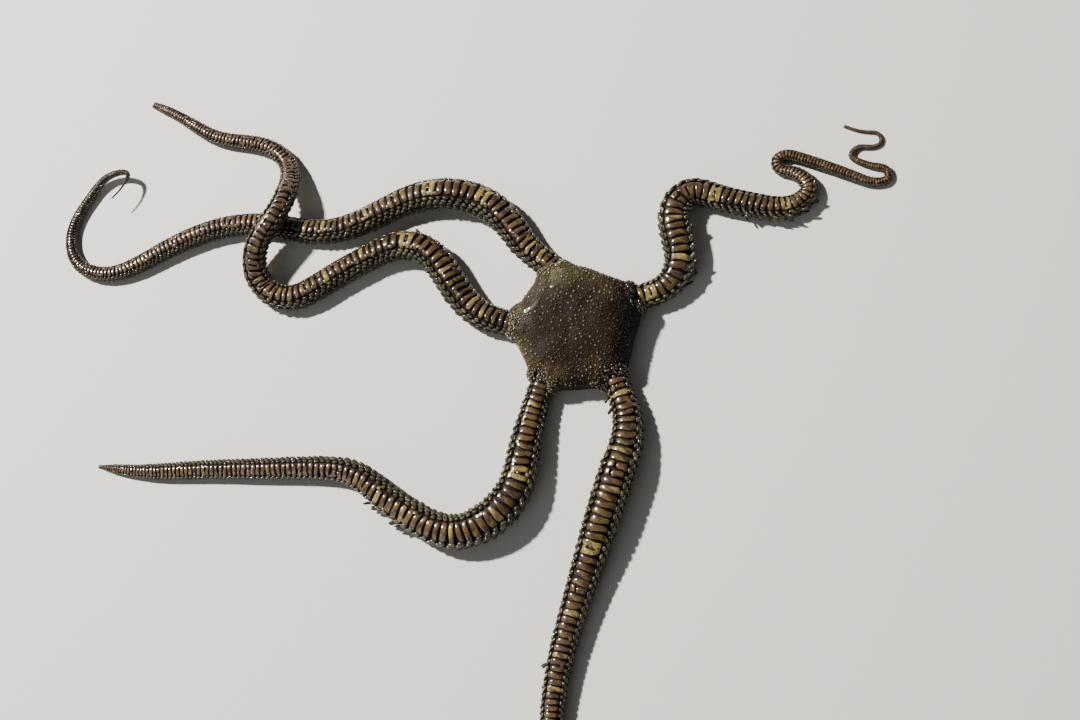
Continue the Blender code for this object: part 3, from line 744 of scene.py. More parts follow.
def build_tube(arm):
    places = np.arange(TUBE_FROM, arm.length, TUBE_STEP)
    places = np.append(places, arm.length)
    angles = np.linspace(0, 360, TUBE_SIDES, endpoint=False)
    depth = (SKIN_DEPTH + SIDE_DEPTH * side_share(angles))[None] * arm.width(places)[:, None]
    points = arm.surface(places[:, None], angles[None], -depth)
    places_map = arm.strip_place(places[:, None], np.linspace(0, 1, TUBE_SIDES + 1)[None])
    return grid_object("arm_skin", points, places_map[:-1], places_map[1:])


def build_skin(disc, arms, material):
    """The disc and its arms as one closed surface, a plate's depth inside the solids."""
    rings = np.concatenate([np.arange(UNDER_RING_STEP, UNDER_TO, UNDER_RING_STEP),
                            np.arange(UNDER_TO, len(DISC_RINGS) - 1, SKIN_RING_STEP)])
    turns = np.linspace(0, math.tau, SKIN_TURNS, endpoint=False)
    points = disc.surface(turns[None], rings[:, None], np.full((len(rings), SKIN_TURNS), -DISC_SKIN_DEPTH))
    points[..., 2] += np.where(rings[:, None] < UNDER_TO, disc.mouth(points), 0)
    around = np.linspace(0, math.tau, SKIN_TURNS + 1)
    low_map = disc.map_place(around[None], rings[:-1, None] + RING_NUDGE)
    high_map = disc.map_place(around[None], rings[1:, None] - RING_NUDGE)
    skin = grid_object("skin", points, low_map, high_map)
    group = bpy.data.collections.new("arm_skins")
    bpy.context.scene.collection.children.link(group)
    tubes = [build_tube(arm) for arm in arms]
    for tube in tubes:
        bpy.context.scene.collection.objects.unlink(tube)
        group.objects.link(tube)
    union = skin.modifiers.new("arms", "BOOLEAN")
    union.operation = "UNION"
    union.operand_type = "COLLECTION"
    union.collection = group
    union.solver = "EXACT"
    graph = bpy.context.evaluated_depsgraph_get()
    mesh = bpy.data.meshes.new_from_object(skin.evaluated_get(graph))
    skin.modifiers.clear()
    skin.data = mesh
    for tube in tubes:
        bpy.data.objects.remove(tube, do_unlink=True)
    bpy.data.collections.remove(group)
    co = np.empty(len(mesh.vertices) * 3)
    mesh.vertices.foreach_get("co", co)
    co = co.reshape(-1, 3) / MM
    turn = np.arctan2(co[:, 1], co[:, 0])
    inside = np.clip(disc.radius(turn) - np.hypot(co[:, 0], co[:, 1]) + SKIN_EDGE, 0, 1)
    # The disc's part of the skin is darkened by SKIN_SHADE, a painted shade between its grains
    add_tint(mesh, mix(GAP_COLOUR, disc_colour(co) * SKIN_SHADE, inside))
    mesh.materials.clear()
    mesh.materials.append(material)
    mesh.shade_smooth()
    return skin


# Colour of the disc: patches over a brown ground, as x, y, radius, colour and strength; the near-black
# ones over its right side and its lower edge are painted shade
# The disc's skin, seen in the gaps between its grains and scales, is darkened as painted shade
SKIN_SHADE = 0.5
DISC_PATCHES = [
    (-1.0, 0.5, 6.0, srgb(42, 30, 21), 0.7),
    (3.5, 0.0, 4.4, srgb(52, 37, 23), 0.7),
    # Painted shade: near-black patches over the disc's shaded right side and the folds at the right arm's
    # root
    (8.6, 4.2, 3.2, srgb(22, 15, 14), 0.9),
    (11.2, -0.8, 3.4, srgb(12, 9, 8), 0.95),
    (10.5, -5.5, 3.2, srgb(14, 10, 9), 0.95),
    (9.6, 2.4, 1.9, srgb(9, 8, 9), 0.95),
    (9.2, -1.6, 1.8, srgb(9, 8, 9), 0.9),
    (8.4, -5.2, 1.8, srgb(9, 8, 9), 0.9),
    (7.6, -8.4, 1.5, srgb(9, 8, 9), 0.9),
    # Painted shade along the disc's lower edge
    (0.5, -12.2, 3.0, srgb(16, 12, 9), 0.9),
    (-7.6, 6.6, 2.6, srgb(86, 78, 68), 0.75),
    (-10.4, 3.0, 1.9, srgb(106, 100, 70), 0.8),
    (-10.6, -3.4, 2.2, srgb(98, 90, 52), 0.8),
    (-3.4, 9.8, 2.6, srgb(112, 107, 74), 0.9),
    (0.6, 9.6, 1.9, srgb(90, 83, 54), 0.75),
    (4.0, 8.4, 1.6, srgb(84, 76, 50), 0.7),
    (-9.4, -5.8, 2.2, srgb(98, 86, 50), 0.75),
    (-7.2, -8.6, 2.6, srgb(96, 84, 50), 0.8),
    (-3.0, -9.6, 2.0, srgb(86, 74, 45), 0.7),
    (6.2, 5.6, 1.8, srgb(78, 66, 46), 0.7),
    (4.3, -8.2, 2.0, srgb(82, 67, 44), 0.8),
    (-8.6, 1.1, 1.1, srgb(74, 54, 66), 0.7),
    (-8.2, -5.2, 1.3, srgb(58, 44, 48), 0.6),
    (-5.6, -8.4, 0.9, srgb(74, 52, 66), 0.7),
    (-2.0, 8.6, 0.9, srgb(78, 60, 68), 0.6),
]
DISC_SPOTS = [  # x, y and radius of small yellow spots
    (-0.4, 0.8, 0.26), (2.0, 0.3, 0.3), (0.8, -0.9, 0.22), (1.0, 1.4, 0.18),
]
DISC_TOP = 9.97  # the last ring with grains
PLACE_TURNS, PLACE_RINGS = 240, 100  # into which the disc is divided to spread places over it

# Grains of the disc: their rise is a share of their radius, their gaps are shares of the spacing
FINE_GRAINS = dict(seed=21, tries=52000, spacing=0.27, gaps=(0.85, 1.25), radius=0.14, rise=0.12,
                   band=(TOP_RING, DISC_TOP))
PALE_GRAINS = dict(seed=22, tries=3400, spacing=0.54, gaps=(0.85, 1.9), radius=0.165, rise=1.1,
                   band=(TOP_RING + 1, DISC_TOP))
GRAIN_SIZES, FINE_TONES = (0.6, 1.3), (0.6, 1.5)
PALE_SHARES, PALE_POWER = (0.15, 1.0), 1.3  # of the pale colour
# The pale grains fade where the disc is dark, and so also under its painted shade
PALE_LIGHT, PALE_START, PALE_LEAST = 0.05, 0.2, 0.04  # less of it where the disc is dark
GRAIN_DEPTH, GRAIN_SINK = 0.05, 0.12
GRAIN_AXIS = (0.31, 0.87, 0.38)  # any direction that no grain faces
GRAIN_WOBBLE = 0.06
ROOT_INSIDE = (0.6, -0.6)  # along an arm and under its top, from where the grains' distance counts
ROOT_CLEAR = 1.6  # left free of grains
# Fine grains grow darker near each arm's root: a painted shade where the arms join the disc
ROOT_SHADE, ROOT_SHADE_START, ROOT_SHADE_LEAST = 3.4, 0.25, 0.45

# Scales round the roots of the arms, with the colours that each arm's have; the black ones at the two
# right-hand arms are painted shade
BASE_SCALES = dict(seed=23, tries=16000, reach=3.9, radii=(0.44, 0.22), spacing=1.65, rise=0.6,
                   sizes=(0.75, 1.15), tones=(0.65, 1.2), sink=0.15, wobble=0.1, blend=0.6,
                   band=(TOP_RING + 0.2, 9.5), root=(0.4, -0.5))
SCALE_OLIVE, SCALE_YELLOW = srgb(98, 92, 58), srgb(132, 127, 80)
SCALE_VIOLET, SCALE_TAN = srgb(70, 55, 68), srgb(118, 102, 74)
SCALE_ORANGE, SCALE_SHADE_BLACK = srgb(96, 72, 46), srgb(20, 15, 15)
BASE_COLOURS = [
    [SCALE_OLIVE, SCALE_OLIVE, SCALE_VIOLET, SCALE_YELLOW],
    [SCALE_VIOLET, SCALE_VIOLET, SCALE_OLIVE, SCALE_YELLOW],
    [SCALE_TAN, SCALE_VIOLET, SCALE_VIOLET, SCALE_OLIVE],
    [SCALE_ORANGE, SCALE_OLIVE, SCALE_SHADE_BLACK, SCALE_TAN],
    [SCALE_SHADE_BLACK, SCALE_SHADE_BLACK, SCALE_SHADE_BLACK, DISC_BROWN],
]


# Wet films: direction, ring, half of the one and of the other, and how high each stands
FILM_SIDES = 48
FILM_RINGS = [(0.2, 0.96), (0.4, 0.86), (0.6, 0.68), (0.76, 0.47), (0.9, 0.2), (1.0, 0.0), (0.97, -1.0)]
FILM_SEED, FILM_WOBBLE = 24, 0.07
FILM_SINK, FILM_EDGE = 0.05, 0.03
# The films' colour is greyed towards a painted sheen
FILM_SHEEN_GREY, FILM_SHEEN_SHARE = srgb(66, 57, 50), 0.6
FILMS = [
    (2.68, 7.9, 0.21, 0.27, 0.07),
    (1.98, 8.22, 0.09, 0.17, 0.09),
    (2.2, 7.75, 0.07, 0.12, 0.06),
    (1.88, 8.3, 0.04, 0.09, 0.05),
]


def disc_colour(points):
    colours = np.tile(np.array(DISC_BROWN), (len(points), 1))
    for x, y, radius, colour, strength in DISC_PATCHES:
        away = ((points[:, 0] - x) ** 2 + (points[:, 1] - y) ** 2) / radius**2
        colours = mix(colours, colour, strength * np.exp(-away))
    return colours


def spread(points, gaps):
    """The points, taken in their order, that keep their gap from those already taken."""
    cell = float(np.max(gaps))
    taken = {}
    chosen = []
    for index, (point, gap) in enumerate(zip(points.tolist(), gaps)):
        key = tuple(int(math.floor(value / cell)) for value in point)
        near = (
            other
            for dx in (-1, 0, 1) for dy in (-1, 0, 1) for dz in (-1, 0, 1)
            for other in taken.get((key[0] + dx, key[1] + dy, key[2] + dz), ())
        )
        if all(math.dist(point, other) > gap for other in near):
            taken.setdefault(key, []).append(point)
            chosen.append(index)
    return np.array(chosen)


def disc_places(disc, count, source, ring_from, ring_to):
    """Random places, evenly spread over the disc's surface between two rings."""
    turns = np.linspace(0, math.tau, PLACE_TURNS + 1)
    rings = np.linspace(ring_from, ring_to, PLACE_RINGS + 1)
    grid = disc.base(turns[None], rings[:, None])
    across = np.linalg.norm(np.diff(grid, axis=1)[:-1], axis=-1)
    upward = np.linalg.norm(np.diff(grid, axis=0)[:, :-1], axis=-1)
    area = (across * upward).reshape(-1)
    picks = source.choice(len(area), count, p=area / area.sum())
    row, column = np.divmod(picks, len(turns) - 1)
    ring = rings[row] + source.random(count) * (rings[1] - rings[0])
    turn = turns[column] + source.random(count) * (turns[1] - turns[0])
    return turn, ring


def grain_points(centre, normal, radius, rise, sink, source, sides=GRAIN_SIDES, rings=GRAIN_RINGS,
                 wobble=GRAIN_WOBBLE):
    """Small domes standing on a surface."""
    first = unit(np.cross(normal, GRAIN_AXIS))
    second = np.cross(normal, first)
    a, b, rises = domes(len(centre), sides, rings, 1.0, wobble, source)
    a, b = a * radius[:, None], b * radius[:, None]
    height = np.where(rises > 0, rises * rise[:, None], -sink)
    flat = first[:, None] * a[..., None] + second[:, None] * b[..., None]
    return centre[:, None] + flat + normal[:, None] * height[..., None]


def root_distances(arms, points, along, height):
    """How far points lie from each arm's root, taken at a length along it and a height over its top."""
    roots = np.array([arm.surface(along, 0, height) for arm in arms])
    return np.linalg.norm(points[:, None] - roots[None], axis=-1)


def build_base_scales(disc, arms, material):
    """The larger scales of the disc round the roots of its arms."""
    source = np.random.default_rng(BASE_SCALES["seed"])
    turn, ring = disc_places(disc, BASE_SCALES["tries"], source, *BASE_SCALES["band"])
    centre = disc.surface(turn, ring, np.zeros(len(turn)))
    away = root_distances(arms, centre, *BASE_SCALES["root"])
    nearest = away.argmin(axis=1)
    away = away.min(axis=1) / BASE_SCALES["reach"]
    kept = source.random(len(away)) > away**3
    turn, ring, centre, nearest, away = pick(kept, turn, ring, centre, nearest, away)
    largest, smallest = BASE_SCALES["radii"]
    radius = largest + (smallest - largest) * away
    radius = radius * source.uniform(*BASE_SCALES["sizes"], len(away))
    chosen = spread(centre, radius * BASE_SCALES["spacing"])
    turn, ring, centre, nearest, away, radius = pick(chosen, turn, ring, centre, nearest, away, radius)
    colours = np.array([BASE_COLOURS[arm][source.integers(len(BASE_COLOURS[arm]))] for arm in nearest])
    colours = mix(colours, disc_colour(centre), BASE_SCALES["blend"] * away)
    colours = colours * source.uniform(*BASE_SCALES["tones"], (len(away), 1))
    points = grain_points(centre, disc.normal(turn, ring), radius, radius * BASE_SCALES["rise"],
                          BASE_SCALES["sink"], source, SCALE_SIDES, SCALE_RINGS, BASE_SCALES["wobble"])
    shade = ring_values(SCALE_END_SHADES, SCALE_SHADES, SCALE_SIDES)
    coat = Coat(SCALE_SIDES, SCALE_RINGS)
    coat.add(points, colours[:, None] * shade[:, None], disc.map_place(turn, ring))
    return coat.make("disc_base_scales", material)


def build_films(disc, material):
    """Smooth wet films that stand over the grains of the disc, their colour greyed by a painted sheen."""
    source = np.random.default_rng(FILM_SEED)
    a, b, rises = domes(len(FILMS), FILM_SIDES, FILM_RINGS, 1.0, FILM_WOBBLE, source)
    turn, ring, turn_half, ring_half, rise = [column[:, None] for column in np.array(FILMS).T]
    height = np.where(rises > 0, rises * (rise + FILM_SINK), rises * FILM_EDGE) - FILM_SINK
    points = disc.surface(turn + a * turn_half, ring + b * ring_half, height)
    colours = mix(disc_colour(points.reshape(-1, 3)), FILM_SHEEN_GREY, FILM_SHEEN_SHARE).reshape(points.shape)
    coat = Coat(FILM_SIDES, FILM_RINGS)
    coat.add(points, colours, disc.map_place(turn[:, 0], ring[:, 0]))
    return coat.make("disc_films", material)


def fine_colours(colours, centre, near, source):
    """Colours of the fine grains, darker near the arms as painted shade, with a few yellow spots."""
    colours = colours * source.uniform(*FINE_TONES, (len(centre), 1))
    for x, y, size in DISC_SPOTS:
        colours[np.hypot(centre[:, 0] - x, centre[:, 1] - y) < size] = PLATE_TAN
    return colours * np.clip(near / ROOT_SHADE - ROOT_SHADE_START, ROOT_SHADE_LEAST, 1)[:, None]


def pale_colours(colours, source):
    """Colours of the pale grains, some of them hardly paler than the disc and none where it is dark."""
    lit = np.clip(colours.sum(1) / PALE_LIGHT - PALE_START, PALE_LEAST, 1)
    return mix(colours, GRAIN_PALE, source.uniform(*PALE_SHARES, len(colours)) ** PALE_POWER * lit)


def build_disc_grains(disc, arms, material, name, kind):
    """The granules that cover the disc: the fine ones, or the larger pale ones among them."""
    source = np.random.default_rng(kind["seed"])
    turn, ring = disc_places(disc, kind["tries"], source, *kind["band"])
    centre = disc.surface(turn, ring, np.full(len(turn), -GRAIN_DEPTH))
    near = root_distances(arms, centre, *ROOT_INSIDE).min(axis=1)
    turn, ring, centre, near = pick(near > ROOT_CLEAR, turn, ring, centre, near)
    chosen = spread(centre, kind["spacing"] * source.uniform(*kind["gaps"], len(turn)))
    turn, ring, centre, near = pick(chosen, turn, ring, centre, near)
    radius = kind["radius"] * source.uniform(*GRAIN_SIZES, len(turn))
    colours = disc_colour(centre)
    if kind is PALE_GRAINS:
        colours = pale_colours(colours, source)
    else:
        colours = fine_colours(colours, centre, near, source)
    coat = Coat(GRAIN_SIDES, GRAIN_RINGS)
    points = grain_points(centre, disc.normal(turn, ring), radius, radius * kind["rise"], GRAIN_SINK, source)
    coat.add(points, colours, disc.map_place(turn, ring))
    return coat.make(name, material)


# Underside of the disc, from the middle outwards: for the plates between two slits the distance
# from the middle, aside, half length, half width, taper and turn in degrees
JAW_PLATES = [
    (5.7, 0, 0.95, 0.85, 0.25, 0),
    (4.5, 0.85, 0.8, 0.3, 0.0, 38),
    (3.0, 0.36, 1.15, 0.34, 0.35, 10),
    (1.35, 0.0, 0.24, 0.16, 0.0, 0),
    (1.5, 0.26, 0.24, 0.15, 0.0, 12),
]
PAPILLAE = dict(start=1.7, end=4.3, step=0.42, aside=0.5, half_length=0.24, half_width=0.17)
UNDER_ROW = dict(start=5.2, step=1.18, half_length=0.52, half_width=0.95, aside=1.5, side_width=0.4,
                 narrow=0.7, widened=3)  # how narrow it begins, and after how many mm it is full
UNDER_SEED, UNDER_WOBBLE = 31, 0.05
UNDER_PLATE_RISE = 0.06  # over the skin, where their edges lie
UNDER_GRAINS = dict(tries=16000, spacing=0.36, gaps=(0.85, 1.2), radius=0.19, sizes=(0.8, 1.15),
                    tones=(0.75, 1.2), rise=0.07, sink=0.08, level=0.09, row_start=0.5, row_aside=0.3,
                    from_ring=0.1, brown_to=3.6, brown_most=0.9)
MOUTH_TONES, MOUTH_BROWNS = (0.85, 1.1), (0, 0.5)
UNDER_LEVEL = 0.015  # of the lowest plates over the floor
BREATHING_SLITS = dict(start=6.0, end=10.4, aside=2.35, half_width=0.28)
UNDER_BROWN = srgb(92, 76, 50)
SIDE_TONE = 0.8  # of the papillae and the plates beside the arms' beginnings


def flat_pads(places, turns, lengths, widths, top, source, taper=0.0, square=0.8):
    """Plates on the underside, by their places, directions and halves, hanging down from a height."""
    a, b, rises = domes(len(places), PAD_SIDES, PAD_RINGS, square, UNDER_WOBBLE, source)
    b = b * (1 + taper * a)
    a, b = a * lengths[:, None], b * widths[:, None]
    cosine, sine = np.cos(turns)[:, None], np.sin(turns)[:, None]
    x = places[:, :1] + a * cosine + b * sine
    y = places[:, 1:] + a * sine - b * cosine
    level = top[:, None] + (UNDER_LEVEL - top[:, None]) * np.clip(0.5 + 0.5 * rises, 0, 1)
    return np.stack([x, y, level], axis=-1)


def mouth_rows(disc):
    """The plates of the underside: place, direction, halves, taper and brightness of each."""
    rows = []
    for turn in disc.middles:
        for away, aside, half_length, half_width, taper, angle in JAW_PLATES:
            for side in (-1, 1) if aside else (0,):
                x, y = turned_place(turn, away, side * aside)
                rows.append((x, y, turn - side * math.radians(angle), half_length, half_width, taper, 1))
    for turn, root in zip(disc.turns, disc.roots):
        for side in (-1, 1):
            for away in np.arange(PAPILLAE["start"], PAPILLAE["end"], PAPILLAE["step"]):
                x, y = turned_place(turn, away, side * PAPILLAE["aside"])
                size = PAPILLAE["half_length"], PAPILLAE["half_width"]
                rows.append((x, y, turn + math.pi / 2, *size, 0, SIDE_TONE))
        for away in np.arange(UNDER_ROW["start"], np.linalg.norm(root), UNDER_ROW["step"]):
            part = min(1, (away - UNDER_ROW["start"]) / UNDER_ROW["widened"])
            wide = UNDER_ROW["narrow"] + (1 - UNDER_ROW["narrow"]) * part
            for side in (-1, 0, 1):
                x, y = turned_place(turn, away, side * UNDER_ROW["aside"] * wide)
                width = UNDER_ROW["side_width"] if side else UNDER_ROW["half_width"]
                tone = SIDE_TONE if side else 1
                rows.append((x, y, turn, UNDER_ROW["half_length"], width * wide, 0, tone))
    return rows


def build_mouth_plates(disc, source, material):
    """Jaws, shields and papillae round the mouth, and the plates of the arms' beginnings."""
    x, y, turn, length, width, taper, tone = np.array(mouth_rows(disc)).T
    places = np.stack([x, y], axis=1)
    top = DISC_SKIN_DEPTH + disc.mouth(places) + UNDER_PLATE_RISE
    points = flat_pads(places, turn, length, width, top, source, taper[:, None])
    tones = tone * source.uniform(*MOUTH_TONES, len(x))
    shade = ring_values(END_SHADES, RIM_SHADES, PAD_SIDES)
    colours = mix(VENTRAL_PALE, UNDER_BROWN, source.uniform(*MOUTH_BROWNS, len(x)))
    plates = Coat(PAD_SIDES, PAD_RINGS)
    plates.add(points, (colours * tones[:, None])[:, None] * shade[:, None],
               disc.map_place(*disc.under_place(x, y)))
    return plates.make("mouth_plates", material)


def build_under_grains(disc, source, material):
    """The grains of the underside, between its plates and its breathing slits."""
    turn, ring = disc_places(disc, UNDER_GRAINS["tries"], source, UNDER_GRAINS["from_ring"], TOP_RING)
    centre = disc.base(turn, ring)
    centre[:, 2] += UNDER_GRAINS["level"] + disc.mouth(centre) * (ring < UNDER_TO)
    free = np.ones(len(turn), bool)
    for arm_turn in disc.turns:
        along, across = along_and_across(centre, arm_turn)
        across = np.abs(across)
        free &= ~((along > 0) & (along < PAPILLAE["end"]) & (across < PAPILLAE["aside"]))
        in_row = across < UNDER_ROW["aside"] + UNDER_GRAINS["row_aside"]
        free &= ~((along > UNDER_ROW["start"] - UNDER_GRAINS["row_start"]) & in_row)
        beside = np.abs(across - BREATHING_SLITS["aside"]) < BREATHING_SLITS["half_width"]
        free &= ~(beside & (along > BREATHING_SLITS["start"]) & (along < BREATHING_SLITS["end"]))
    turn, ring, centre = pick(free, turn, ring, centre)
    chosen = spread(centre, UNDER_GRAINS["spacing"] * source.uniform(*UNDER_GRAINS["gaps"], len(turn)))
    turn, ring, centre = pick(chosen, turn, ring, centre)
    radius = UNDER_GRAINS["radius"] * source.uniform(*UNDER_GRAINS["sizes"], len(turn))
    brown = np.clip(UNDER_GRAINS["brown_to"] - ring, 0, UNDER_GRAINS["brown_most"])
    colours = mix(disc_colour(centre), UNDER_BROWN, brown)
    colours = colours * source.uniform(*UNDER_GRAINS["tones"], (len(turn), 1))
    rise = np.full(len(turn), UNDER_GRAINS["rise"])
    points = grain_points(centre, disc.normal(turn, ring), radius, rise, UNDER_GRAINS["sink"], source)
    grains = Coat(GRAIN_SIDES, GRAIN_RINGS)
    grains.add(above_floor(points), colours, disc.map_place(turn, ring))
    return grains.make("disc_under_grains", material)


# Plates of an arm: angles from its top in degrees
BEAD_STEPS = [(8, 6.5), (19.5, 6)]  # from the ends of the back plates, with their half angles
LATERAL_ANGLES = [(82, 16), (112, 16)]
VENTRAL = (180, 25)
VENTRAL_SIDE = (147, 8)

# Spines: their rows by an arm's width, the angles from its top between which these lie, where in a
# segment they begin, how much of their row's gap they fill, and their tips, which are paler
SPINE_ROW_WIDTHS, SPINE_ROWS, SPINE_ROWS_LEAST = (4.2, 3, 1.8), (5, 4, 4), 3
SPINE_FROM, SPINE_TO = 67, 124
SPINE_ROOT, SPINE_FILL = 0.62, 0.48
SPINE_LOW, SPINE_LIFT = -0.09, (-0.03, 0.012)
SPINE_PALER, SPINE_PALE_FROM = 0.5, 0.35
SPINE_LENGTHS, SPINE_RADII, SPINE_TONES = (0.86, 1.08), (0.9, 1.06), (0.75, 1.2)
SPINE_SWAY, SPINE_FAN = 2, 3

# Streaks over a back plate: radians from its middle to its end, and how strong they are
STREAK_WAVE = 3.4
STREAK_SLANT = 1.5
STREAK_PURPLE = 0.9
STREAK_YELLOW = 0.6
YELLOW_LOSS = 0.85  # on the arms' outer parts
PURPLE_LEVELS, YELLOW_LEVELS, YELLOW_WAVE = (-0.6, 0.4), (-1, 0), 1.3
HIND_SHADE, RIPPLE_SHADE, RIPPLE_WAVE = 0.22, 0.15, 5

# Back plates' colours along an arm, by shares of its length; how many segments a slow change
# takes; and the paler plates beyond the last one that has its place, with the segments between them
ARM_SEED = 100  # and the arm's number
PURPLE_MOST, MAUVE_MOST = 0.6, 0.75
OLIVE_EVERY, PURPLE_EVERY, BEAD_EVERY, SPINE_EVERY, VENTRAL_EVERY = 5, 7, 4, 5, 6
PLATE_TONES, TAN_SHARES = (0.8, 1.2), (0.8, 1.0)
FAINT_SHARES, FAINT_FIRST, FAINT_GAPS = (0.1, 0.3), 4, (4, 8)
OUTER_START, OUTER_SPAN = 0.35, 0.3
TIP_START, TIP_SPAN = 0.7, 0.08

# The least share of its length that a bend has to leave to a plate or a spine
PLATE_ROOM, SPINE_ROOM = 0.3, 0.35

# Splayed spines: which rows have them, how far their tips stand out and how much longer they are
SPLAYED_ROWS = (0, 1, 2)
SPLAYED_LIFT = (0.08, 0.2)
SPLAYED_LENGTH = 1.1


def drift(count, every, source):
    """A slow random change from 0 to 1 along the segments."""
    knots = np.arange(0, count + every, every)
    return np.interp(np.arange(count), knots, source.random(len(knots)))


class Segments:
    """The segments of one arm with their colours."""

    def __init__(self, arm):
        self.arm = arm
        self.source = np.random.default_rng(ARM_SEED + arm.number)
        self.starts, self.pitches = arm.segments()
        self.count = len(self.starts)
        self.middles = self.starts + self.pitches / 2
        self.widths = arm.width(self.middles)
        share = self.middles / arm.length
        source = self.source
        tone = mix(PLATE_BROWN, PLATE_OLIVE, drift(self.count, OLIVE_EVERY, source))
        less, more = [PURPLE_MOST * drift(self.count, PURPLE_EVERY, source)[:, None] for _ in range(2)]
        tone = tone * (1 - less) + np.array(PLATE_PURPLE) * more
        self.outer = np.clip((share - OUTER_START) / OUTER_SPAN, 0, 1)
        tone = mix(tone, PLATE_MAUVE, MAUVE_MOST * self.outer)
        self.tones = tone * source.uniform(*PLATE_TONES, (self.count, 1))
        bright = np.zeros(self.count)
        for place in arm.pale:
            bright[np.argmin(np.abs(self.middles - place))] = source.uniform(*TAN_SHARES)
        self.pairs = np.flatnonzero((bright[:-1] > 0) & (bright[1:] > 0))
        at = int(np.argmin(np.abs(self.middles - arm.pale[-1]))) + FAINT_FIRST
        while at < self.count:
            bright[at] = source.uniform(*FAINT_SHARES)
            at += int(source.integers(*FAINT_GAPS))
        self.is_tan = bright > 0
        self.tones = mix(self.tones, PLATE_TAN, bright)
        self.tones *= 1 - DARK_TIPS[arm.number] * np.clip((share - TIP_START) / TIP_SPAN, 0, 1)[:, None]

    def streaks(self, colours, outer, source):
        """Colours over each plate's points: purple and yellow streaks and a darker hind edge."""
        turns = side_turns(PAD_SIDES)
        along, across = [np.concatenate([(0, 0)] + [share * values for share, _ in PAD_RINGS])
                         for values in (np.cos(turns), np.sin(turns))]
        count = len(colours)
        phase = source.uniform(0, math.tau, (3, count, 1))
        wave = STREAK_WAVE * across + STREAK_SLANT * along
        purple = np.sin(wave + phase[0]) + source.uniform(*PURPLE_LEVELS, (count, 1))
        yellow = np.sin(wave * YELLOW_WAVE - phase[1]) + source.uniform(*YELLOW_LEVELS, (count, 1))
        purple, yellow = np.clip(purple, 0, 1), np.clip(yellow, 0, 1)
        painted = mix(colours[:, None], PLATE_PURPLE, STREAK_PURPLE * purple)
        painted = mix(painted, PLATE_YELLOW, STREAK_YELLOW * yellow * (1 - YELLOW_LOSS * outer[:, None]))
        ripple = RIPPLE_SHADE * np.sin(RIPPLE_WAVE * across + phase[2])
        return painted * (1 + HIND_SHADE * along + ripple)[..., None]

    def place_pads(self, coat, picked, angle, half_angle, half_length, low, high, colours, shift=0.0,
                   vary=0.0, streaked=False, **options):
        """Plates at an angle on the picked segments, left out where a bend leaves them no room."""
        spans = [np.broadcast_to(value, self.count) for value in (angle, half_angle, shift)]
        angle, half_angle, shift = pick(picked, *spans)
        place = self.middles[picked] + shift
        turned = self.arm.turned(place, angle)
        fits = self.arm.room(place, turned) > PLATE_ROOM
        place, turned, half_angle = pick(fits, place, turned, half_angle)
        length, colours, outer = pick(fits, *pick(picked, half_length * self.pitches, colours, self.outer))
        length = length * self.source.uniform(1 - vary, 1 + vary / 2, len(length))
        points = pad_points(self.arm, place, turned, length, half_angle, low, high, self.source,
                            sides=coat.sides, **options)
        shade = ring_values(END_SHADES, RIM_SHADES, coat.sides)
        painted = self.streaks(colours, outer, self.source) if streaked else colours[:, None]
        coat.add(above_floor(points), painted * shade[:, None], self.arm.map_place(place, turned))


# Back plates: their lowest and highest rise over the arm's surface; the ends of the arms, where
# they stand out more; those cut in two; and how uneven they are
PLATE_LOW, PLATE_HIGH, PLATE_TILT, PLATE_BOW = -0.012, 0.012, 0.002, 0.15
SLIM_WIDTH, SLIM_HIGH = 2.2, 0.045
CUT_FROM, CUT_MOST, CUT_GAP = 0.94, 14, 1.5
ROOT_END, ROOT_MORE = 7, 0.1  # near its root an arm has more plates that are cut in two
PLATE_SWAY, PLATE_HALVES, CUT_TONES = 3, (0.92, 1.05), (0.85, 1.15)
UNEVEN = dict(skew=0.3, taper=0.25, waist=0.2, wobble=0.06, vary=0.16, wave=0.13, streaked=True)
DARK_TIPS = (0.75, 0, 0, 0, 0)  # how much of their brightness the ends of the arms lose

# Links between two back plates, and the dark spots between two pale ones
LINK = dict(share=0.75, angles=(20, 32), half_angle=8.0, half_length=0.34, high=0.014)
SPOT = dict(half_angle=8.0, half_length=0.2, low=-0.01, high=0.012)
SPOT_COLOUR = srgb(58, 36, 26)

# Plates of the sides and the underside
BEAD = dict(half_length=0.4, low=-0.03, high=0.03)
BEAD_FORM = dict(square=0.85, tilt=0.01, sink=-SIDE_SINK, vary=0.25, wobble=0.05)
BEAD_SHIFT, BEAD_STEP = 0.12, 0.3
BEAD_GREYS, BEAD_MIX, BEAD_TONES = (0.3, 1), 0.25, (0.75, 1.2)
BEAD_SWAY, BEAD_HALVES = 1.5, (0.85, 1.15)
LATERAL_DARKS = (0.2, 0.6)
LATERAL = dict(half_length=0.42, low=-0.09, high=-0.065, sink=-SIDE_SINK)
VENTRAL_FORM = dict(half_length=0.41, low=-0.03, high=-0.004, square=0.75)
VENTRAL_SIDE_FORM = dict(half_length=0.38, low=-0.03, high=0.0, square=0.85)
VENTRAL_SIDE_TONE, VENTRAL_BROWN = 0.85, 0.5

# Wet streaks: from where to where an arm has one and over which share of its plates, the way
# that they face, their half angle and half length, and their height
ARM_STREAKS = {0: (71, 77, 0.8), 1: (57, 85, 1), 2: (2, 27, 0.5), 4: (6.5, 15, 0.5)}
STREAK_FACING = (-0.255, 0.052, 0.966)
STREAK_FORM = dict(half_angle=8.0, half_length=0.6, low=-0.02, high=0.018, vary=0.3, wobble=0.12)
STREAK_MIX = 0.5


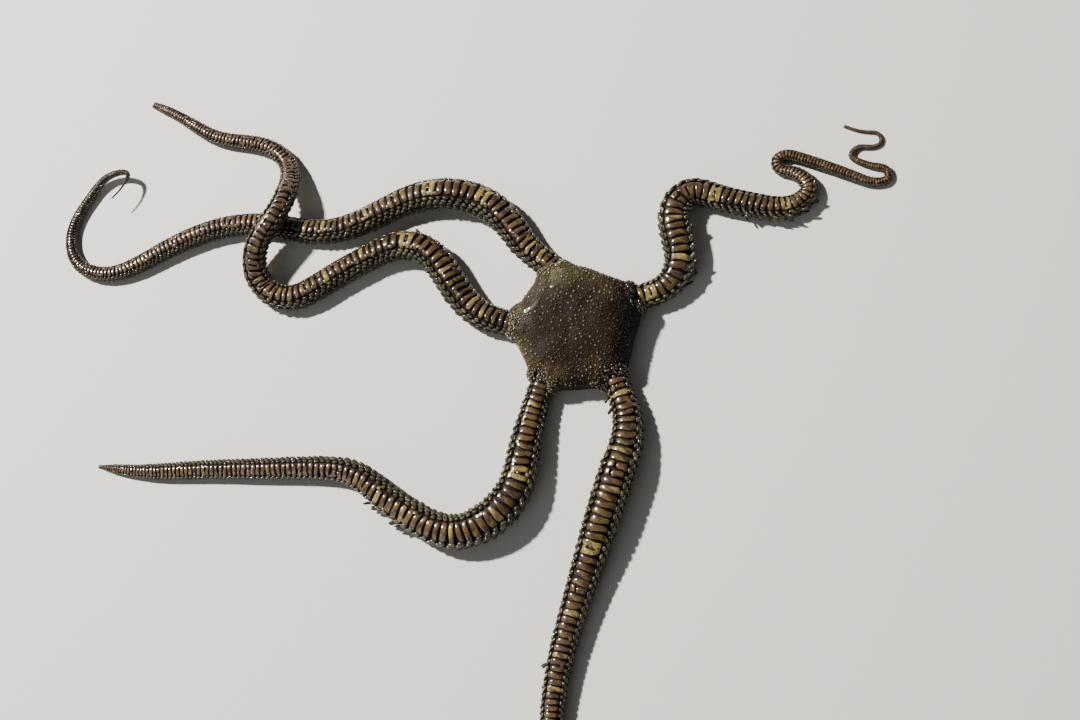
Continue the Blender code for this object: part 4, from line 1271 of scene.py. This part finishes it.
def build_back_plates(segments, materials):
    """The plates along the back of one arm, those of its slim end as a piece of their own."""
    arm, source, count, tones = segments.arm, segments.source, segments.count, segments.tones
    back, ends = Coat(PAD_SIDES, PAD_RINGS), Coat(PAD_SIDES, PAD_RINGS)
    kind = source.random(count)
    kind[segments.is_tan] = 0
    kind[segments.middles < ROOT_END] += ROOT_MORE
    half = arm.back * source.uniform(*PLATE_HALVES, count)
    length = arm.packing / 2
    slim = segments.widths < SLIM_WIDTH
    for coat, picked, high in ((back, ~slim, PLATE_HIGH), (ends, slim, SLIM_HIGH)):
        sway = source.uniform(-PLATE_SWAY, PLATE_SWAY, count)
        segments.place_pads(coat, picked & (kind < CUT_FROM), sway, half, length, PLATE_LOW, high, tones,
                            tilt=PLATE_TILT, bow=PLATE_BOW, **UNEVEN)
    cut = source.uniform(-CUT_MOST, CUT_MOST, count)
    for side in (-1, 1):
        half_angle = np.abs(side * half - cut) / 2 - CUT_GAP
        toned = tones * source.uniform(*CUT_TONES, (count, 1))
        segments.place_pads(back, kind >= CUT_FROM, (side * half + cut) / 2, half_angle, length, PLATE_LOW,
                            PLATE_HIGH, toned, **UNEVEN)
    joined = np.zeros(count, bool)
    joined[segments.pairs] = True
    between = segments.pitches / 2
    for side in (-1, 1):
        use = joined & (source.random(count) < LINK["share"]) | (source.random(count) < arm.linked)
        segments.place_pads(back, use, side * source.uniform(*LINK["angles"], count), LINK["half_angle"],
                            LINK["half_length"], PLATE_LOW, LINK["high"], tones, shift=between, **UNEVEN)
    segments.place_pads(back, joined, 0.0, **SPOT, colours=np.tile(SPOT_COLOUR, (count, 1)), shift=between)
    name = f"arm_{arm.number + 1}"
    return [back.make(name + "_back_plates", materials["plates"]),
            ends.make(name + "_end_plates", materials["ends"])]


def build_side_plates(segments, material):
    """The small plates along both sides of one arm: two rows of beads, and two flat rows below."""
    arm, source, count = segments.arm, segments.source, segments.count
    everywhere = np.ones(count, bool)
    flanks = Coat(SMALL_SIDES, PAD_RINGS)
    slow = drift(count, BEAD_EVERY, source)
    for side in (-1, 1):
        for order, (step, bead_half) in enumerate(BEAD_STEPS):
            bead = mix(LATERAL_GREEN, LATERAL_GREY, slow * source.uniform(*BEAD_GREYS, count))
            bead = mix(bead, segments.tones, BEAD_MIX) * source.uniform(*BEAD_TONES, (count, 1))
            angle = side * (arm.back + step) + source.uniform(-BEAD_SWAY, BEAD_SWAY, count)
            half_angle = bead_half * source.uniform(*BEAD_HALVES, count)
            shift = segments.pitches * (BEAD_SHIFT + BEAD_STEP * order)
            segments.place_pads(flanks, everywhere, angle, half_angle, **BEAD, colours=bead, shift=shift,
                                **BEAD_FORM)
        for angle, half_angle in LATERAL_ANGLES:
            plate = mix(LATERAL_GREEN, GAP_COLOUR, source.uniform(*LATERAL_DARKS, count))
            segments.place_pads(flanks, everywhere, side * angle, half_angle, **LATERAL, colours=plate)
    return flanks.make(f"arm_{arm.number + 1}_side_plates", material)


def build_under_plates(segments, material):
    """The pale plates under one arm, a row along its middle and one on each side."""
    everywhere = np.ones(segments.count, bool)
    under = Coat(SMALL_SIDES, PAD_RINGS)
    browner = VENTRAL_BROWN * drift(segments.count, VENTRAL_EVERY, segments.source)
    pale = mix(VENTRAL_PALE, PLATE_BROWN, browner)
    segments.place_pads(under, everywhere, *VENTRAL, **VENTRAL_FORM, colours=pale)
    angle, half_angle = VENTRAL_SIDE
    for side in (-1, 1):
        segments.place_pads(under, everywhere, side * angle, half_angle, **VENTRAL_SIDE_FORM,
                            colours=pale * VENTRAL_SIDE_TONE)
    return under.make(f"arm_{segments.arm.number + 1}_under_plates", material)


def build_arm_streak(segments, start, end, share, material):
    """A film of water that joins the plates of one arm where it faces one way."""
    arm, places = segments.arm, segments.middles
    facing = np.array(STREAK_FACING)
    aside = arm.read(arm.right, places) @ facing / (arm.read(arm.up, places) @ facing)
    steep = 0.5 / (ARM_HEIGHT * (1 - WAIST))
    angle = np.degrees(np.arctan(steep * aside)) - arm.read(arm.rolls, places)
    coat = Coat(PAD_SIDES, PAD_RINGS)
    picked = (places > start) & (places < end) & (segments.source.random(segments.count) < share)
    segments.place_pads(coat, picked, angle, **STREAK_FORM,
                        colours=mix(segments.tones, PLATE_PURPLE, STREAK_MIX))
    return coat.make(f"arm_{arm.number + 1}_film", material)


def build_arm_spines(segments, material):
    """The short spines that lie along both sides of one arm, a few of them splayed."""
    arm, source, widths = segments.arm, segments.source, segments.widths
    coat = Coat(SPINE_SIDES, SPINE_RINGS)
    rows = np.select([widths > least for least in SPINE_ROW_WIDTHS], SPINE_ROWS, SPINE_ROWS_LEAST)
    shade = drift(segments.count, SPINE_EVERY, source)
    paler_part = np.clip(ring_values((0, 1), [ring[0] for ring in SPINE_RINGS], SPINE_SIDES)
                         - SPINE_PALE_FROM, 0, 1)
    for side in (-1, 1):
        for row in range(int(rows.max())):
            picked = np.flatnonzero(rows > row)
            share = row / (rows[picked] - 1)
            angle = SPINE_FROM + (SPINE_TO - SPINE_FROM) * share
            angle = angle + source.uniform(-SPINE_SWAY, SPINE_SWAY, len(picked))
            root = segments.starts[picked] + segments.pitches[picked] * SPINE_ROOT
            turned = arm.turned(root, side * angle)
            picked, turned, root = pick(arm.room(root, turned) > SPINE_ROOM, picked, turned, root)
            count = len(picked)
            pitch = segments.pitches[picked]
            length = pitch * source.uniform(*SPINE_LENGTHS, count)
            gap = (SPINE_TO - SPINE_FROM) / (rows[picked] - 1)
            radius = widths[picked] / 2 * np.radians(gap) * SPINE_FILL * source.uniform(*SPINE_RADII, count)
            lift = source.uniform(*SPINE_LIFT, count)
            fan = side * source.uniform(-SPINE_FAN, SPINE_FAN, count)
            splayed = np.zeros(count, bool)
            for place, splayed_side in arm.splayed if row in SPLAYED_ROWS else ():
                if splayed_side == side:
                    splayed |= np.abs(root - place) < pitch / 2
            lift = np.where(splayed, source.uniform(*SPLAYED_LIFT, count), lift)
            length = np.where(splayed, length * SPLAYED_LENGTH, length)
            points = spine_points(arm, root, length, turned, fan, radius, SPINE_LOW, lift)
            tone = mix(SPINE_GREEN, LATERAL_GREY, shade[picked] * source.uniform(0, 1, count))
            tone = tone * source.uniform(*SPINE_TONES, (count, 1))
            paler = SPINE_PALER * paler_part * source.uniform(0, 1, (count, 1))
            coat.add(above_floor(points), mix(tone[:, None], SPINE_PALE, paler), arm.map_place(root, turned))
    return coat.make(f"arm_{arm.number + 1}_spines", material)


# Wet materials: roughness, specular level, the coat's weight, roughness and refractive index, the
# bump's strength, and how much darker and lighter the mottling makes the colour
MATERIALS = {
    "skin": (0.5, 0.08, 0, 0.1, 1.5, 0.15, 0.25),
    "plates": (0.5, 0.1, 1, 0.14, 1.8, 0.06, 0.45),
    "spines": (0.5, 0.1, 0.25, 0.12, 1.8, 0.06, 0.25),
    "beads": (0.5, 0.1, 0.4, 0.13, 2.4, 0.06, 0.45),
    "ends": (0.5, 0.1, 0.3, 0.2, 1.6, 0.06, 0.45),
    "streak": (0.4, 0.2, 0.8, 0.18, 1.9, 0, 0.3),
    "grains": (0.45, 0.2, 0.15, 0.2, 1.5, 0.03, 0.25),
    "film": (0.35, 0.2, 0.6, 0.06, 1.5, 0, 0.3),
}
MOTTLE_SCALE, MOTTLE_DETAIL = 2600, 3
MOTTLE_FROM, MOTTLE_TO = 0.3, 0.7
BUMP_DISTANCE = 0.00003


def set_inputs(node, values):
    for socket, value in values.items():
        node.inputs[socket].default_value = value


def wet_material(name, roughness, specular, coat, coat_roughness, coat_ior, bump, mottle):
    """A glossy material whose colour is its mesh's tint, a little mottled."""
    material = bpy.data.materials.new(name)
    material.use_nodes = True
    nodes, links = material.node_tree.nodes, material.node_tree.links
    tint = nodes.new("ShaderNodeAttribute")
    tint.attribute_name = "tint"
    place = nodes.new("ShaderNodeTexCoord")
    texture = nodes.new("ShaderNodeTexNoise")
    set_inputs(texture, {"Scale": MOTTLE_SCALE, "Detail": MOTTLE_DETAIL})
    links.new(place.outputs["Object"], texture.inputs["Vector"])
    span = nodes.new("ShaderNodeMapRange")
    set_inputs(span, {"From Min": MOTTLE_FROM, "From Max": MOTTLE_TO, "To Min": 1 - mottle,
                      "To Max": 1 + mottle})
    links.new(texture.outputs["Fac"], span.inputs["Value"])
    scale = nodes.new("ShaderNodeVectorMath")
    scale.operation = "SCALE"
    links.new(tint.outputs["Color"], scale.inputs["Vector"])
    links.new(span.outputs["Result"], scale.inputs["Scale"])
    relief = nodes.new("ShaderNodeBump")
    set_inputs(relief, {"Strength": bump, "Distance": BUMP_DISTANCE})
    links.new(texture.outputs["Fac"], relief.inputs["Height"])
    shader = nodes["Principled BSDF"]
    links.new(scale.outputs["Vector"], shader.inputs["Base Color"])
    links.new(relief.outputs["Normal"], shader.inputs["Normal"])
    set_inputs(shader, {"Roughness": roughness, "Specular IOR Level": specular, "Metallic": 0,
                        "Coat Weight": coat, "Coat Roughness": coat_roughness, "Coat IOR": coat_ior})
    return material


# Camera: its place in mm, the way back to it from what it looks at, in degrees, and its lens in mm
CAMERA_PLACE = (53.966, -91.496, 326.087)
CAMERA_AZIMUTH, CAMERA_ELEVATION = -55, 72
LENS, SENSOR_WIDTH = 64.6, 36
CLIP_START = 0.01

# Studio, in metres: each light's place, target, size, power in watts and colour
LIGHTS = {
    "key": ((-0.5, 0.3, 0.6), (-0.01, 0, 0), 0.06, 18, (1, 0.95, 0.88)),
    "fill": ((-0.5, -0.75, 0.5), (0, 0, 0), 0.8, 1.5, (0.97, 0.98, 1)),
}
FLOOR_SIZE = 6
FLOOR_COLOUR, FLOOR_ROUGHNESS = (0.8, 0.79, 0.77, 1), 0.8
WORLD_COLOUR, WORLD_STRENGTH = (1, 0.98, 0.95, 1), 0.08


def build_camera():
    """A camera that looks down at the animal, with the frame's +Y towards the picture's top."""
    data = bpy.data.cameras.new("camera")
    data.lens = LENS
    data.sensor_width = SENSOR_WIDTH
    data.clip_start = CLIP_START
    azimuth, elevation = math.radians(CAMERA_AZIMUTH), math.radians(CAMERA_ELEVATION)
    level = math.cos(elevation)
    back = Vector((level * math.cos(azimuth), level * math.sin(azimuth), math.sin(elevation)))
    right = Vector((0, 1, 0)).cross(back).normalized()
    turned = Matrix((right, back.cross(right), back)).transposed().to_4x4()
    camera = new_object("camera", data)
    camera.matrix_world = Matrix.Translation(Vector(CAMERA_PLACE) * MM) @ turned
    bpy.context.scene.camera = camera


def area_light(name, place, target, size, power, colour):
    data = bpy.data.lights.new(name, "AREA")
    data.shape = "DISK"
    data.size = size
    data.energy = power
    data.color = colour
    light = new_object(name, data)
    light.location = place
    light.rotation_euler = (Vector(target) - Vector(place)).to_track_quat("-Z", "Y").to_euler()


def build_studio():
    """A plain pale floor, a small warm key light, a large soft fill light and a faint even one."""
    bpy.ops.mesh.primitive_plane_add(size=FLOOR_SIZE, location=(0, 0, 0))
    floor = bpy.context.object
    floor.name = "floor"
    material = bpy.data.materials.new("floor")
    material.use_nodes = True
    shader = material.node_tree.nodes["Principled BSDF"]
    set_inputs(shader, {"Base Color": FLOOR_COLOUR, "Roughness": FLOOR_ROUGHNESS})
    floor.data.materials.append(material)
    for name, values in LIGHTS.items():
        area_light(name, *values)
    world = bpy.data.worlds.new("world")
    world.use_nodes = True
    set_inputs(world.node_tree.nodes["Background"], {"Color": WORLD_COLOUR, "Strength": WORLD_STRENGTH})
    bpy.context.scene.world = world


def main():
    arms = [Arm(number, **arm) for number, arm in enumerate(ARMS)]
    disc = Disc(arms)
    materials = {name: wet_material("wet_" + name, *values) for name, values in MATERIALS.items()}
    skin = build_skin(disc, arms, materials["skin"])
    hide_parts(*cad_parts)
    under_source = np.random.default_rng(UNDER_SEED)
    coats = {
        "disc": [
            skin,
            build_disc_grains(disc, arms, materials["grains"], "disc_grains", FINE_GRAINS),
            build_disc_grains(disc, arms, materials["grains"], "disc_pale_grains", PALE_GRAINS),
            build_base_scales(disc, arms, materials["plates"]),
            build_films(disc, materials["film"]),
            build_mouth_plates(disc, under_source, materials["plates"]),
            build_under_grains(disc, under_source, materials["plates"]),
        ],
        "arm_plates": [],
        "arm_spines": [],
    }
    for arm in arms:
        segments = Segments(arm)
        coats["arm_plates"] += build_back_plates(segments, materials)
        coats["arm_plates"].append(build_side_plates(segments, materials["beads"]))
        coats["arm_plates"].append(build_under_plates(segments, materials["plates"]))
        coats["arm_spines"].append(build_arm_spines(segments, materials["spines"]))
        if arm.number in ARM_STREAKS:
            streak = build_arm_streak(segments, *ARM_STREAKS[arm.number], materials["streak"])
            coats["arm_plates"].append(streak)
    for slot, pieces in coats.items():
        for piece in pieces:
            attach(piece, "root")
    build_studio()
    build_camera()


main()
bpy.context.view_layer.update()
